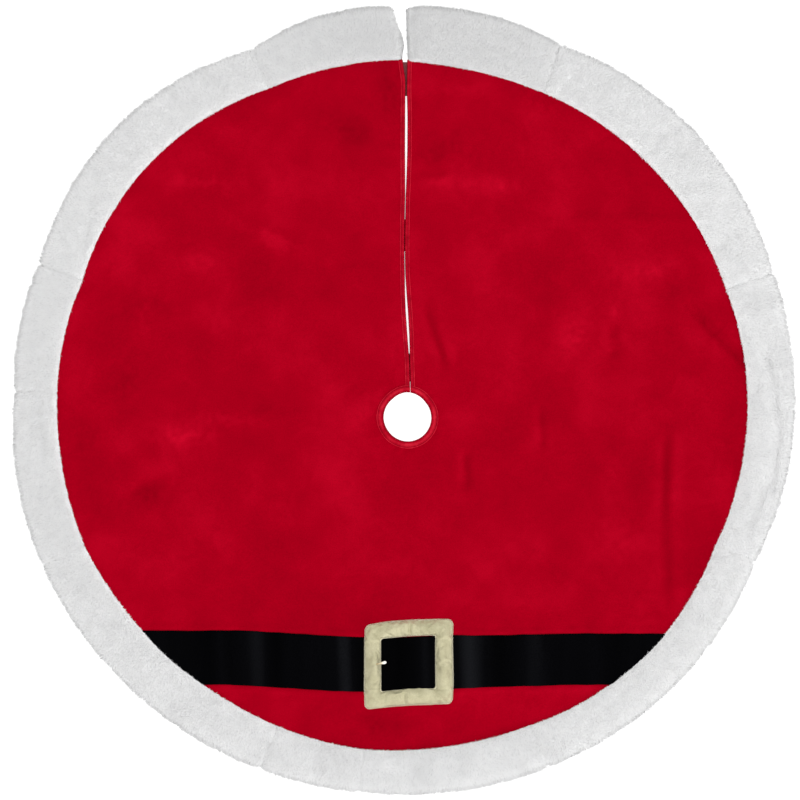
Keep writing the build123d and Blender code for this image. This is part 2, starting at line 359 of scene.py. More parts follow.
def cloth_height(x, y):
    """Height of the velvet's face above the floor."""
    from_neck = np.hypot(x, y) - NECK_OUTER_R
    from_slit = np.abs(x - slit_middle(np.clip(y, 0, SLIT_END_Y))) + np.maximum(-y, 0)
    from_buckle = np.hypot(x - BUCKLE_CENTRE[0], y - BUCKLE_CENTRE[1]) - 70 * MM
    free = smooth(from_neck / (60 * MM)) * smooth((from_slit + 5 * MM) / (70 * MM))
    free = free * (0.35 + 0.65 * smooth(from_buckle / (50 * MM)))
    z = 1.2 * MM * noise(x, y, 0.17, 3) + 0.6 * MM * noise(x, y, 0.07, 4)
    z = z + 0.12 * MM * noise(x, y, 0.024, 5)
    for crease in VELVET_CREASES:
        z = z + ridge(x, y, *crease)
    around = np.arctan2(y, x)
    pucker = np.sin(13 * around + 3 * noise(x, y, 0.03, 6)) * (0.5 + 0.5 * noise(x, y, 0.05, 16))
    z = z * free + 0.25 * MM * pucker * np.exp(-((from_neck / (12 * MM)) ** 2))
    for edge, way in ((belt_top, 1), (belt_bottom, -1)):
        off = way * (y - edge(x)) - 5 * MM
        tug = np.exp(-((off / (5 * MM)) ** 2)) * (0.5 + 0.5 * noise(x, y, 0.016, 7))
        z = z + 0.7 * MM * tug
    return VELVET_Z + VELVET_LIFT + z


# ---------------------------------------------------------------- mesh helpers
def signed_volume(verts, polygons):
    """Six times the volume inside the faces, below zero where they look inwards."""
    total = 0.0
    for faces in polygons:
        first = verts[faces[:, 0]]
        for k in range(1, faces.shape[1] - 1):
            total += np.einsum("ij,ij->", first, np.cross(verts[faces[:, k]], verts[faces[:, k + 1]]))
    return total


def mesh_object(name, verts, polygons, closed=True):
    """An object from (n, 3) points and arrays of polygons, each array with one corner count.

    A closed mesh is turned so that its faces look outwards.
    """
    verts = np.asarray(verts, float)
    polygons = [np.asarray(p) for p in polygons if len(p)]
    if closed and signed_volume(verts, polygons) < 0:
        polygons = [p[:, ::-1] for p in polygons]
    corners = np.concatenate([p.ravel() for p in polygons]).astype(np.int32)
    sizes = np.concatenate([np.full(len(p), p.shape[1]) for p in polygons])
    mesh = bpy.data.meshes.new(name)
    mesh.vertices.add(len(verts))
    mesh.vertices.foreach_set("co", verts.astype(np.float32).ravel())
    mesh.loops.add(len(corners))
    mesh.loops.foreach_set("vertex_index", corners)
    mesh.polygons.add(len(sizes))
    starts = np.concatenate([[0], np.cumsum(sizes)[:-1]]).astype(np.int32)
    mesh.polygons.foreach_set("loop_start", starts)
    mesh.update(calc_edges=True)
    mesh.polygons.foreach_set("use_smooth", np.full(len(sizes), True))
    keep_rest_places(mesh)
    made = bpy.data.objects.new(name, mesh)
    bpy.context.scene.collection.objects.link(made)
    return made


def mesh_points(mesh):
    """The vertices of a mesh, as an array."""
    co = np.empty(len(mesh.vertices) * 3, np.float32)
    mesh.vertices.foreach_get("co", co)
    return co.reshape(-1, 3)


def set_points(piece, points):
    """Moves the vertices of a piece's mesh to these points."""
    piece.data.vertices.foreach_set("co", points.astype(np.float32).ravel())
    piece.data.update()


def give_nap_and_painted_light(piece, values):
    """The pile's or thread's tone at each point, and on some pieces light or shade painted into it, for the
    piece's material to read.
    """
    nap = piece.data.attributes.new("nap", "FLOAT", "POINT")
    nap.data.foreach_set("value", values.astype(np.float32).ravel())


def keep_rest_places(mesh):
    """Each point's place at rest, for patterns that stay put when a flap is folded."""
    rest = mesh.attributes.get("rest") or mesh.attributes.new("rest", "FLOAT_VECTOR", "POINT")
    rest.data.foreach_set("vector", mesh_points(mesh).ravel())


def grid_faces(rows, columns, wrap_rows=False, wrap_columns=False):
    """Quads of a grid of rows by columns points, which may close on itself either way."""
    i = np.arange(rows if wrap_rows else rows - 1)
    j = np.arange(columns if wrap_columns else columns - 1)
    i, j = [g.ravel() for g in np.meshgrid(i, j, indexing="ij")]
    i1, j1 = (i + 1) % rows, (j + 1) % columns
    return np.stack([i * columns + j, i1 * columns + j, i1 * columns + j1, i * columns + j1], axis=1)


def tube_faces(rows, columns):
    """Faces of a section of columns points carried along rows places, with a face over each end."""
    first = np.arange(columns)[None]
    last = first[:, ::-1] + (rows - 1) * columns
    return [grid_faces(rows, columns, wrap_columns=True), first, last]


def unit(vectors):
    """Vectors scaled to a length of 1 along their last axis."""
    return vectors / np.maximum(np.linalg.norm(vectors, axis=-1, keepdims=True), 1e-9)


def coons(bottom, top, left, right):
    """The points of a patch from its four edge curves, (columns, 2) along and (rows, 2) across."""
    u = np.linspace(0, 1, len(bottom))[None, :, None]
    v = np.linspace(0, 1, len(left))[:, None, None]
    across = (1 - v) * bottom[None] + v * top[None]
    along = (1 - u) * left[:, None] + u * right[:, None]
    corners = (1 - u) * (1 - v) * bottom[0] + u * (1 - v) * bottom[-1]
    corners = corners + (1 - u) * v * top[0] + u * v * top[-1]
    return across + along - corners


def finish_piece(piece, material, where, slot, replaces=()):
    """Gives a piece its material and hides the CAD parts that it replaces. A main piece goes on its body; a flap's
    piece only has its place applied to its mesh. slot is not used.
    """
    piece.data.materials.append(material)
    if where in CREASES:
        start, end = CREASES[where].blend_ends()
        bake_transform(piece)
    else:
        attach(piece, BODY_OF[where])
    if replaces:
        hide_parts(*replaces)
    return piece


# ---------------------------------------------------------------- materials
class Nodes:
    """A small helper to wire one material."""

    def __init__(self, name):
        self.material = bpy.data.materials.new(name)
        self.material.use_nodes = True
        self.tree = self.material.node_tree
        self.shader = self.tree.nodes["Principled BSDF"]
        self.place = self.tree.nodes.new("ShaderNodeAttribute")
        self.place.attribute_name = "rest"

    def link(self, source, target):
        """One wire."""
        self.tree.links.new(source, target)

    def put(self, socket, value):
        """A wire into a socket, or a plain value on it."""
        if hasattr(value, "links"):
            self.link(value, socket)
        else:
            socket.default_value = value

    def set(self, **sockets):
        """Values of the shader's sockets, with _ for a space."""
        for name, value in sockets.items():
            self.shader.inputs[name.replace("_", " ")].default_value = value

    def texture(self, kind, stretch, **sockets):
        """A texture laid over the places at rest."""
        mapping = self.tree.nodes.new("ShaderNodeMapping")
        mapping.inputs["Scale"].default_value = stretch
        self.link(self.place.outputs["Vector"], mapping.inputs["Vector"])
        node = self.tree.nodes.new(kind)
        for name, value in sockets.items():
            node.inputs[name].default_value = value
        self.link(mapping.outputs["Vector"], node.inputs["Vector"])
        return node

    def noise(self, per_metre, detail=2.0, stretch=(1, 1, 1), roughness=0.5, distortion=0.0):
        """Cloudy noise from 0 to 1."""
        look = {"Scale": per_metre, "Detail": detail, "Roughness": roughness, "Distortion": distortion}
        return self.texture("ShaderNodeTexNoise", stretch, **look).outputs["Fac"]

    def wave(self, per_metre, direction, distortion=0.0):
        """Bands across one direction, from 0 to 1."""
        node = self.texture("ShaderNodeTexWave", (1, 1, 1), Scale=per_metre, Distortion=distortion)
        node.bands_direction = direction
        return node.outputs["Fac"]

    def weave(self, per_metre, distortion):
        """Two sets of threads at right angles."""
        warp, weft = [self.wave(per_metre, axis, distortion=distortion) for axis in "XY"]
        return self.mix(0.5, warp, weft)

    def ramp(self, factor, *stops):
        """A colour ramp through (position, colour) stops."""
        node = self.tree.nodes.new("ShaderNodeValToRGB")
        elements = node.color_ramp.elements
        while len(elements) < len(stops):
            elements.new(0.5)
        for element, (position, colour) in zip(elements, stops):
            element.position = position
            element.color = (*colour, 1) if hasattr(colour, "__len__") else (colour, colour, colour, 1)
        self.link(factor, node.inputs["Fac"])
        return node.outputs["Color"]

    def mix(self, factor, a, b, mode="MIX"):
        """Two colours mixed. A mix node's colour sockets are 0, 6 and 7, and its colour output is 2."""
        node = self.tree.nodes.new("ShaderNodeMix")
        node.data_type = "RGBA"
        node.blend_type = mode
        for at, value in ((0, factor), (6, a), (7, b)):
            self.put(node.inputs[at], value)
        return node.outputs[2]

    def nap(self):
        """The mesh's own value for its pile's or thread's tone at each point, with any light or shade painted into
        it.
        """
        node = self.tree.nodes.new("ShaderNodeAttribute")
        node.attribute_name = "nap"
        return node.outputs["Fac"]

    def math(self, operation, a, b):
        """One sum of two values."""
        node = self.tree.nodes.new("ShaderNodeMath")
        node.operation = operation
        for socket, value in zip(node.inputs, (a, b)):
            self.put(socket, value)
        return node.outputs[0]

    def uneven_nap(self, patches, much):
        """The nap value, with any painted light or shade that it holds, moved up and down by a noise."""
        return self.math("ADD", self.nap(), self.math("MULTIPLY", self.math("SUBTRACT", patches, 0.5), much))

    def bump(self, *layers):
        """Bump layers, each (height, distance in metres)."""
        normal = None
        for height, distance in layers:
            node = self.tree.nodes.new("ShaderNodeBump")
            node.inputs["Distance"].default_value = distance
            self.link(height, node.inputs["Height"])
            if normal is not None:
                self.link(normal, node.inputs["Normal"])
            normal = node.outputs["Normal"]
        self.link(normal, self.shader.inputs["Normal"])

    def colour(self, output):
        """The shader's colour."""
        self.link(output, self.shader.inputs["Base Color"])


def velvet_material(name, dark, middle, light):
    """Short crushed pile: lighter where it is brushed one way, darker the other, with painted light and shade on
    its slopes and a fine speckle.
    """
    n = Nodes(name)
    patches = n.noise(30.0, detail=4.0, roughness=0.65, distortion=0.8)
    colour = n.ramp(n.uneven_nap(patches, 0.35), (0.0, dark), (0.5, middle), (1.0, light))
    grain = n.ramp(n.noise(520.0, detail=2.0, roughness=0.7), (0.25, 0.80), (0.75, 1.16))
    n.colour(n.mix(0.75, colour, grain, mode="MULTIPLY"))
    n.set(Roughness=0.9, Specular_IOR_Level=0.0, Sheen_Weight=0.25, Sheen_Roughness=0.5)
    n.set(Sheen_Tint=(1.0, 0.0, 0.03, 1.0))
    n.bump((n.noise(160.0, detail=3.0), 0.4 * MM), (n.noise(800.0, detail=2.0), 0.25 * MM))
    return n.material


def binding_material():
    """The same cloth, folded and pressed hard, so its pile shines more. Its colour runs from dark to light through
    the painted shade and highlights that each point was given, with a noise.
    """
    n = Nodes("red_binding")
    patches = n.noise(80.0, detail=4.0, roughness=0.65)
    stops = (0.0, (0.19, 0.0, 0.005)), (0.5, (0.36, 0.0, 0.011)), (1.0, (0.58, 0.015, 0.035))
    n.colour(n.ramp(n.uneven_nap(patches, 1.2), *stops))
    n.set(Roughness=0.45, Specular_IOR_Level=0.03, Sheen_Weight=0.2, Sheen_Roughness=0.4)
    n.set(Sheen_Tint=(1.0, 0.0, 0.04, 1.0))
    n.bump((n.noise(240.0, detail=3.0), 0.5 * MM), (n.noise(900.0, detail=1.0), 0.2 * MM))
    return n.material


def plush_material():
    """White pile: its colour times the painted shade that each lock and the body were given."""
    n = Nodes("white_plush")
    clumps = n.noise(75.0, detail=3.0, roughness=0.6)
    tone = n.ramp(clumps, (0.30, (0.935, 0.935, 0.94)), (0.65, (0.98, 0.98, 0.98)))
    n.colour(n.mix(1.0, tone, n.ramp(n.nap(), (0.0, 0.0), (1.0, 1.0)), "MULTIPLY"))
    n.set(Roughness=0.85, Specular_IOR_Level=0.15, Sheen_Weight=0.25, Sheen_Roughness=0.5)
    n.bump((n.noise(500.0, detail=2.0, stretch=(1, 1, 0.4)), 0.4 * MM))
    return n.material


def lining_material():
    """Plain woven cloth."""
    n = Nodes("white_lining")
    weave = n.weave(330.0, distortion=0.6)
    tone = n.ramp(n.noise(20.0), (0.3, (0.60, 0.595, 0.58)), (0.7, (0.68, 0.675, 0.66)))
    n.colour(n.mix(1.0, tone, n.ramp(weave, (0, 0.88), (1, 1.0)), "MULTIPLY"))
    n.set(Roughness=0.9, Specular_IOR_Level=0.2)
    n.bump((weave, 0.25 * MM), (n.noise(60.0), 0.8 * MM))
    return n.material


def black_velvet_material():
    """Black pile, pressed the other way in bands beside the buckle, where it looks dark grey."""
    n = Nodes("black_velvet")
    bands = n.noise(26.0, detail=2.0, stretch=(1, 0.12, 1))
    lie = n.uneven_nap(bands, 0.4)
    stops = (0.1, (0.0007, 0.0007, 0.0009)), (0.5, (0.0019, 0.0019, 0.0024)), (1.0, (0.0078, 0.0081, 0.0096))
    speckle = n.ramp(n.noise(600.0, detail=2.0), (0.3, 0.6), (0.7, 1.4))
    n.colour(n.mix(0.7, n.ramp(lie, *stops), speckle, "MULTIPLY"))
    n.set(Roughness=0.8, Specular_IOR_Level=0.0, Sheen_Weight=0.004, Sheen_Roughness=0.4)
    n.bump((n.noise(900.0, detail=1.0), 0.3 * MM))
    return n.material


def lame_material():
    """Pale gold metallic weave."""
    n = Nodes("gold_lame")
    weave = n.weave(620.0, distortion=1.2)
    sparkle = n.noise(900.0, detail=2.0, roughness=0.8)
    base = n.ramp(n.noise(60.0, detail=3.0), (0.3, (0.44, 0.412, 0.255)), (0.7, (0.57, 0.535, 0.35)))
    n.colour(n.mix(0.8, base, n.ramp(sparkle, (0.30, 0.72), (0.62, 1.0), (0.80, 1.35)), "MULTIPLY"))
    n.set(Metallic=0.45, Roughness=0.5, Sheen_Weight=0.2, Sheen_Roughness=0.4)
    n.bump((weave, 0.1 * MM), (n.noise(260.0, detail=3.0), 0.5 * MM))
    return n.material


def foam_material():
    """White foam with small open cells."""
    n = Nodes("white_foam")
    cells = n.noise(900.0, detail=2.0)
    n.colour(n.ramp(cells, (0.3, (0.70, 0.70, 0.68)), (0.6, (0.86, 0.86, 0.84))))
    n.set(Roughness=0.95, Specular_IOR_Level=0.1)
    n.bump((cells, 0.5 * MM))
    return n.material


def thread_material(name, colour, shine):
    """Twisted sewing thread."""
    n = Nodes(name)
    twist = n.noise(1400.0, detail=1.0)
    n.colour(n.ramp(twist, (0.3, tuple(0.75 * c for c in colour)), (0.7, colour)))
    n.set(Roughness=0.6, Specular_IOR_Level=shine)
    return n.material


def prong_material():
    """Satin thread wound round the tongue: brown gold where it starts, and a painted highlight that makes it
    nearly white at its tip.
    """
    n = Nodes("prong_satin")
    stops = (0.2, (0.30, 0.19, 0.07)), (0.55, (0.66, 0.56, 0.36)), (0.8, (0.93, 0.90, 0.84))
    n.colour(n.ramp(n.uneven_nap(n.noise(900.0), 0.3), *stops))
    n.set(Roughness=0.35, Specular_IOR_Level=0.4)
    return n.material


def tape_material(name, colour):
    """Woven tape with ribs along it."""
    n = Nodes(name)
    ribs = n.wave(260.0, "Y", distortion=0.4)
    n.colour(n.ramp(ribs, (0.0, tuple(0.65 * c for c in colour)), (1.0, colour)))
    n.set(Roughness=0.7, Specular_IOR_Level=0.3)
    n.bump((ribs, 0.3 * MM))
    return n.material


RED = velvet_material("red_velvet", (0.20, 0.0, 0.005), (0.318, 0.0, 0.0085), (0.47, 0.002, 0.017))
RED_BINDING = binding_material()
PLUSH = plush_material()
LINING = lining_material()
BLACK = black_velvet_material()
LAME = lame_material()
RED_THREAD = thread_material("red_thread", (0.34, 0.0, 0.012), shine=0.05)
GOLD_THREAD = thread_material("gold_thread", (0.76, 0.71, 0.52), shine=0.4)
PRONG = prong_material()
WEBBING = tape_material("maroon_webbing", (0.31, 0.07, 0.075))
HOOKS = tape_material("red_hook_tape", (0.30, 0.02, 0.04))
LOOPS = tape_material("red_loop_tape", (0.36, 0.02, 0.05))
FOAM = foam_material()


# ---------------------------------------------------------------- velvet and lining
def outline_curve(a0, a1, count, grow):
    """Points of the velvet's edge from one angle to another, moved outwards by grow."""
    angles = np.linspace(a0, a1, count)
    return polar(velvet_radius(angles) + grow, angles)


def plan_angle(point, centre=(0.0, 0.0)):
    """The angle of one point about a centre, which is the trunk's axis unless it is given."""
    return math.atan2(point[1] - centre[1], point[0] - centre[0])


def main_edges(columns, rows, grow):
    """Edge curves of the main skirt: the neck from crease to crease round the front, then the rim."""
    start, end = [plan_angle(CREASES[s].at_radius(NECK_CUT_R)) for s in ("left", "right")]
    neck = polar(NECK_CUT_R, np.linspace(start, end + TAU, columns), np.zeros(2))
    rims = [CREASES[s].edge_point(lambda a: velvet_radius(a) + grow) for s in ("left", "right")]
    start, end = [plan_angle(p, CENTRE) for p in rims]
    rim = outline_curve(start, end + TAU, columns, grow)
    t = np.linspace(0, 1, rows)[:, None]
    return neck, rim, neck[0] + (rim[0] - neck[0]) * t, neck[-1] + (rim[-1] - neck[-1]) * t


def flap_edges(side, columns, rows, grow):
    """Edge curves of a flap, counter-clockwise from its first straight side to its second."""
    crease = CREASES[side]
    slit_inset = MM if side == "right" else -MM
    slit_foot = (slit_edge(side, NECK_CUT_R) + slit_inset, NECK_CUT_R)
    slit_top = (slit_edge(side, SLIT_END_Y + grow) + slit_inset, SLIT_END_Y + grow)
    neck_angles = np.linspace(plan_angle(crease.at_radius(NECK_CUT_R)), plan_angle(slit_foot), columns)
    neck = polar(NECK_CUT_R, neck_angles, np.zeros(2))
    rim = crease.edge_point(lambda a: velvet_radius(a) + grow)
    top = outline_curve(plan_angle(rim, CENTRE), plan_angle(slit_top, CENTRE), columns, grow)
    t = np.linspace(0, 1, rows)
    by_crease = neck[0] + (top[0] - neck[0]) * t[:, None]
    y = neck[-1][1] + (top[-1][1] - neck[-1][1]) * t
    by_slit = np.stack([slit_edge(side, y) + slit_inset, y], axis=1)
    by_slit += (neck[-1] - by_slit[0]) * (1 - t[:, None]) + (top[-1] - by_slit[-1]) * t[:, None]
    return neck, top, by_crease, by_slit


def cloth_patch(name, edges, drop, face_up):
    """A sheet that follows the lie of the cloth, drop below its face, with normals steepened as pile that leans
    one way and painted light and shade on its slopes.
    """
    flat = coons(*edges)
    rows, columns = flat.shape[:2]
    x, y = flat[..., 0], flat[..., 1]
    z = np.maximum(cloth_height(x, y) - drop, 0.5 * MM)
    verts = np.stack([x, y, z], axis=-1).reshape(-1, 3)
    quads = grid_faces(rows, columns)
    corners = verts[quads]
    upward = np.cross(corners[:, 2] - corners[:, 0], corners[:, 3] - corners[:, 1])[:, 2].sum() > 0
    piece = mesh_object(name, verts, [quads if upward == face_up else quads[:, ::-1]], closed=False)
    slope = cloth_slopes(x, y)
    # Painted light and shade: slopes that face the lamp's side are made lighter in colour, and slopes that face
    # away darker.
    lit = np.clip(0.6 * slope[1] - 0.8 * slope[0], -0.3, 0.3)
    give_nap_and_painted_light(piece, np.clip(nap_lie(x, y) + lit, 0, 1))
    way = 1 if face_up else -1
    lean = -NAP_GAIN * way * slope
    normals = unit(np.stack([*lean, np.full(x.shape, way)], axis=-1).reshape(-1, 3))
    piece.data.normals_split_custom_set_from_vertices(normals)
    return piece


def cloth_slopes(x, y):
    """How steeply the cloth rises along x and along y."""
    step = 1.5 * MM
    dx = (cloth_height(x + step, y) - cloth_height(x - step, y)) / (2 * step)
    dy = (cloth_height(x, y + step) - cloth_height(x, y - step)) / (2 * step)
    return np.stack([dx, dy])


def flat_area(piece):
    """Area of a sheet of quads pressed flat, in square metres."""
    corners = np.empty(len(piece.data.loops), np.int32)
    piece.data.loops.foreach_get("vertex_index", corners)
    p = mesh_points(piece.data)[corners.reshape(-1, 4)][..., :2].astype(float)
    a, b = p[:, 2] - p[:, 0], p[:, 3] - p[:, 1]
    return float(np.abs(a[:, 0] * b[:, 1] - a[:, 1] * b[:, 0]).sum() / 2)


def declare_sheet(piece):
    """Works out a laid sheet's size and its area pressed flat, and keeps neither."""
    size = np.ptp(mesh_points(piece.data), axis=0)
    flat_area(piece)


def cloth_sheets():
    """Velvet and lining, each as the main skirt and two flaps."""
    layers = (
        ("velvet", RED, "red_velvet", 0.0, True, (440, 168), (150, 168)),
        ("lining", LINING, "white_lining", LINING_DROP, False, (300, 90), (130, 110)),
    )
    for name, material, slot, drop, face_up, main_size, flap_size in layers:
        for where in BODY_OF:
            size = main_size if where == "main" else flap_size
            if where == "main":
                edges = main_edges(*size, SEAM_LAP)
            else:
                edges = flap_edges(where, *size, SEAM_LAP)
            piece = cloth_patch(f"{name}_{where}_cloth", edges, drop, face_up)
            declare_sheet(piece)
            finish_piece(piece, material, where, slot, replaces=[f"{name}_{where}"])


# ---------------------------------------------------------------- plush border
def fur_segment(name):
    """Angles where a border piece starts and ends, at the velvet and at its outer edge, about CENTRE."""
    spans = []
    inner, outer = FUR_WALLS[name]
    outer = outer[radius_of(outer) > fur_radius(angle_of(outer)) - 14 * MM]
    for points in (inner, outer):
        angles = np.sort(angle_of(points) % TAU)
        gaps = np.diff(np.concatenate([angles, [angles[0] + TAU]]))
        first = (np.argmax(gaps) + 1) % len(angles)
        start, end = angles[first], angles[first - 1]
        spans.append((start, end if end > start else end + TAU))
    return spans


FUR_BODY = {"fur_trim_right": "right", "fur_trim_left": "left"}
# The free ends beside the slit: 1 for an end that is free, the first and the last.
FREE_ENDS = {"fur_trim_right": (0, 1), "fur_trim_left": (1, 0)}
# Room for the pile at a free end, as angles at the velvet and at the outer edge.
FREE_END_INSET = {
    "fur_trim_right": (1.6 * MM / 0.54, 0.4 * MM / 0.61),
    "fur_trim_left": (2.6 * MM / 0.54, 6.6 * MM / 0.61),
}
FUR_WAIST = 5.5 * MM  # height of the border's sides, where its section is widest
FUR_CROWN = 12.8 * MM
FUR_HEM = 2.4 * MM
FUR_EDGE_INSET = 2.0 * MM  # room for the pile, at the velvet and at the outer edge
# Long soft folds that run along the border: from, to, half width, height, in millimetres.
FUR_FOLDS = [
    ((556, 122), (577, -10), 7, -4.6),
    ((577, -10), (566, -130), 7, -4.6),
    ((563, -92), (524, -190), 6, -4.0),
    ((-482, 366), (-503, 228), 7, -2.8),
    ((-560, -70), (-575, 60), 6, -2.2),
    ((300, -500), (400, -430), 6, -2.0),
    ((-110, 585), (-30, 592), 7, -2.2),
    ((60, 585), (180, 560), 7, -1.4),
]


def fur_skin(name, columns, around):
    """Points of a border piece's skin, (columns, around, 3), from end to end and round its section."""
    free = FREE_ENDS.get(name, (0, 0))
    spans = []
    for (start, end), inset in zip(fur_segment(name), FREE_END_INSET.get(name, (0, 0))):
        spans.append((start + free[0] * inset, end - free[1] * inset))
    (in0, in1), (out0, out1) = spans
    u = np.linspace(0, 1, columns)[:, None]
    phi = np.linspace(0, TAU, around, endpoint=False)[None, :]
    a_in, a_out = in0 + (in1 - in0) * u, out0 + (out1 - out0) * u
    inner = polar(velvet_radius(a_in) + FUR_EDGE_INSET, a_in)
    outer = polar(fur_radius(a_out) - FUR_EDGE_INSET, a_out)
    wave = 0.5 * noise(a_out * BORDER_R, 0.3, 0.05, 11) + 1.6 * noise(a_out * BORDER_R, 0.3, 0.12, 14)
    outer = outer + (outer - CENTRE) / BORDER_R * MM * wave[..., None]
    c, s = np.cos(phi), np.sin(phi)
    across = 0.5 + 0.5 * np.sign(c) * np.abs(c) ** 0.75
    up = np.sign(s) * np.abs(s) ** 0.8
    xy = inner + (outer - inner) * across[..., None]
    if name == "fur_trim_left":
        xy[..., 0] += 9.5 * MM * smooth(1 - u / 0.2) * np.exp(-(((across - 0.36) / 0.28) ** 2))
    x, y = xy[..., 0], xy[..., 1]
    length = (in1 - in0) * BORDER_R
    full = 1.0
    for distance, at_slit in ((u * length, free[0]), ((1 - u) * length, free[1])):
        reach = (9 if at_slit else 8) * MM
        least = 0.0 if at_slit else 0.80
        rise = np.sqrt(np.maximum(1 - (1 - np.minimum(distance / reach, 1)) ** 2, 0))
        full = full * (least + (1 - least) * rise)
    crown = FUR_CROWN * (1 + 0.03 * noise(x, y, 0.05, 12)) + 0.25 * MM * noise(x, y, 0.018, 13)
    for fold in FUR_FOLDS:
        crown = crown + ridge(x, y, *fold)
    rise = np.where(up >= 0, (crown - FUR_WAIST) * np.maximum(up, 0), (FUR_WAIST - FUR_HEM) * up)
    return np.stack([x, y, FUR_WAIST + rise * full], axis=-1)


def grid_normals(points):
    """Unit normals of a grid that closes on itself along its second axis."""
    along = np.gradient(points, axis=0)
    round_it = np.roll(points, -1, axis=1) - np.roll(points, 1, axis=1)
    return unit(np.cross(along, round_it))


def spikes(root, direction, bend, length, width, rng):
    """Bent three-sided spikes of seven points: (verts, quads, triangles).

    bend moves each tip, as a share of its length.
    """
    count = len(root)
    side = unit(np.cross(direction, rng.normal(0, 1, (count, 3))))
    other = np.cross(direction, side)
    rings = []
    for centre, share in ((root, 1.0), (root + direction * length * 0.55, 0.72)):
        for k in range(3):
            a = TAU * k / 3
            rings.append(centre + (side * math.cos(a) + other * math.sin(a)) * width * share)
    tip = root + (direction + bend) * length
    verts = np.stack(rings + [tip], axis=1).reshape(-1, 3)
    first = np.arange(count)[:, None] * 7
    quads = [first + np.array([k, (k + 1) % 3, 3 + (k + 1) % 3, 3 + k]) for k in range(3)]
    tips = [first + np.array([3 + k, 3 + (k + 1) % 3, 6]) for k in range(3)]
    return verts, np.concatenate(quads), np.concatenate(tips)


def lock_normals(verts, facing):
    """Normals round each lock of seven points, turned towards the way that the fur faces there."""
    locks = verts.reshape(-1, 7, 3)
    low, high = [locks[:, k : k + 3].mean(1, keepdims=True) for k in (0, 3)]
    normal = unit(np.concatenate([locks[:, :3] - low, locks[:, 3:] - high], axis=1))
    return unit(normal + FUR_SOFTNESS * facing[:, None]).reshape(-1, 3)


def near_velvet(points):
    """Where the fur is kept short, from 0 to 1: over the velvet's edge and beside the slit."""
    over_red = smooth((velvet_radius(angle_of(points)) + 7 * MM - radius_of(points)) / (7 * MM))
    from_slit = np.abs(points[:, 0] - slit_middle(SLIT_END_Y))
    by_slit = smooth(1.5 - from_slit / (14 * MM)) * (points[:, 1] > 0)
    return np.maximum(over_red, by_slit)


def painted_fur_shade(points):
    """Painted shade on the fur, as a share of its full lightness: a little darker by the velvet and the slit, at
    its rim and along the top.
    """
    outward = angle_of(points)
    shade = 1 - 0.17 * near_velvet(points) * smooth(np.sin(outward) / 0.9)
    shade -= 0.08 * np.exp(-(((outward - math.pi / 2) / 0.42) ** 2))
    shade -= 0.2 * smooth((radius_of(points) - fur_radius(outward) + 9 * MM) / (7 * MM))
    return np.maximum(shade, 0.7)


def pile_tufts(skin, normals, seed, layer_length, layer_width, per_m2, layer_lean):
    """Locks of fur scattered over a skin, leaning together in clumps.

    Returns their points and faces, the normals they are lit by and the painted shade of each point.
    """
    rng = np.random.default_rng(seed)
    cell_u = skin[1:] - skin[:-1]
    cell_v = (np.roll(skin, -1, axis=1) - skin)[:-1]
    area = np.linalg.norm(np.cross(cell_u, cell_v), axis=-1)
    weight = area * np.where(normals[:-1, :, 2] < UNDERSIDE, 0.6, 1.0)
    count = min(int(per_m2 * weight.sum()), PILE_MOST)
    pick = rng.choice(weight.size, count, p=(weight / weight.sum()).ravel())
    i, j = np.unravel_index(pick, weight.shape)
    s, t = rng.random((2, count, 1))
    base = skin[i, j] + cell_u[i, j] * s + cell_v[i, j] * t
    normal = normals[i, j]
    x, y = base[:, 0], base[:, 1]
    turn = math.pi * (0.22 * noise(x, y, 0.03, 21) + 0.2 * noise(x, y, 0.013, 22))
    outward = angle_of(base)
    lean_angle = np.arctan2(np.sin(outward) - 0.4, np.cos(outward)) + turn + rng.normal(0, 0.35, count)
    lean = np.stack([np.cos(lean_angle), np.sin(lean_angle), np.zeros(count)], axis=1)
    clump = noise(x, y, 0.011, 23)[:, None]
    under = normal[:, 2:] < UNDERSIDE
    flat_out = 0.75 + 0.25 * smooth((np.sin(outward) + 0.3) / 0.9)[:, None]
    direction = normal * np.where(under, 0.3, 0.8) + lean * (layer_lean + 0.12 * clump) * flat_out
    direction = unit(direction + rng.normal(0, 0.16, (count, 3)))
    over_red = near_velvet(base)[:, None]
    length = layer_length * (0.9 + 0.15 * clump + rng.normal(0, 0.1, (count, 1))) * (1 - 0.5 * over_red)
    width = layer_width * (0.8 + 0.4 * rng.random((count, 1)))
    bend = lean * 0.14 + np.array([0, 0, -0.08])
    verts, quads, tips = spikes(base - normal * 1.2 * MM, direction, bend, length, width, rng)
    steep = np.hypot(normal[:, 0], normal[:, 1])[:, None]
    facing = (0.3 - 0.8 * np.maximum(steep**2, over_red)) * normal
    facing[:, 2:] += np.where(under, -1.0, 1.0)
    lit = lock_normals(verts, unit(facing))
    verts[:, 2] = np.clip(verts[:, 2], 0.3 * MM, PILE_TOP)
    return verts, quads, tips, lit, np.repeat(painted_fur_shade(base), 7)


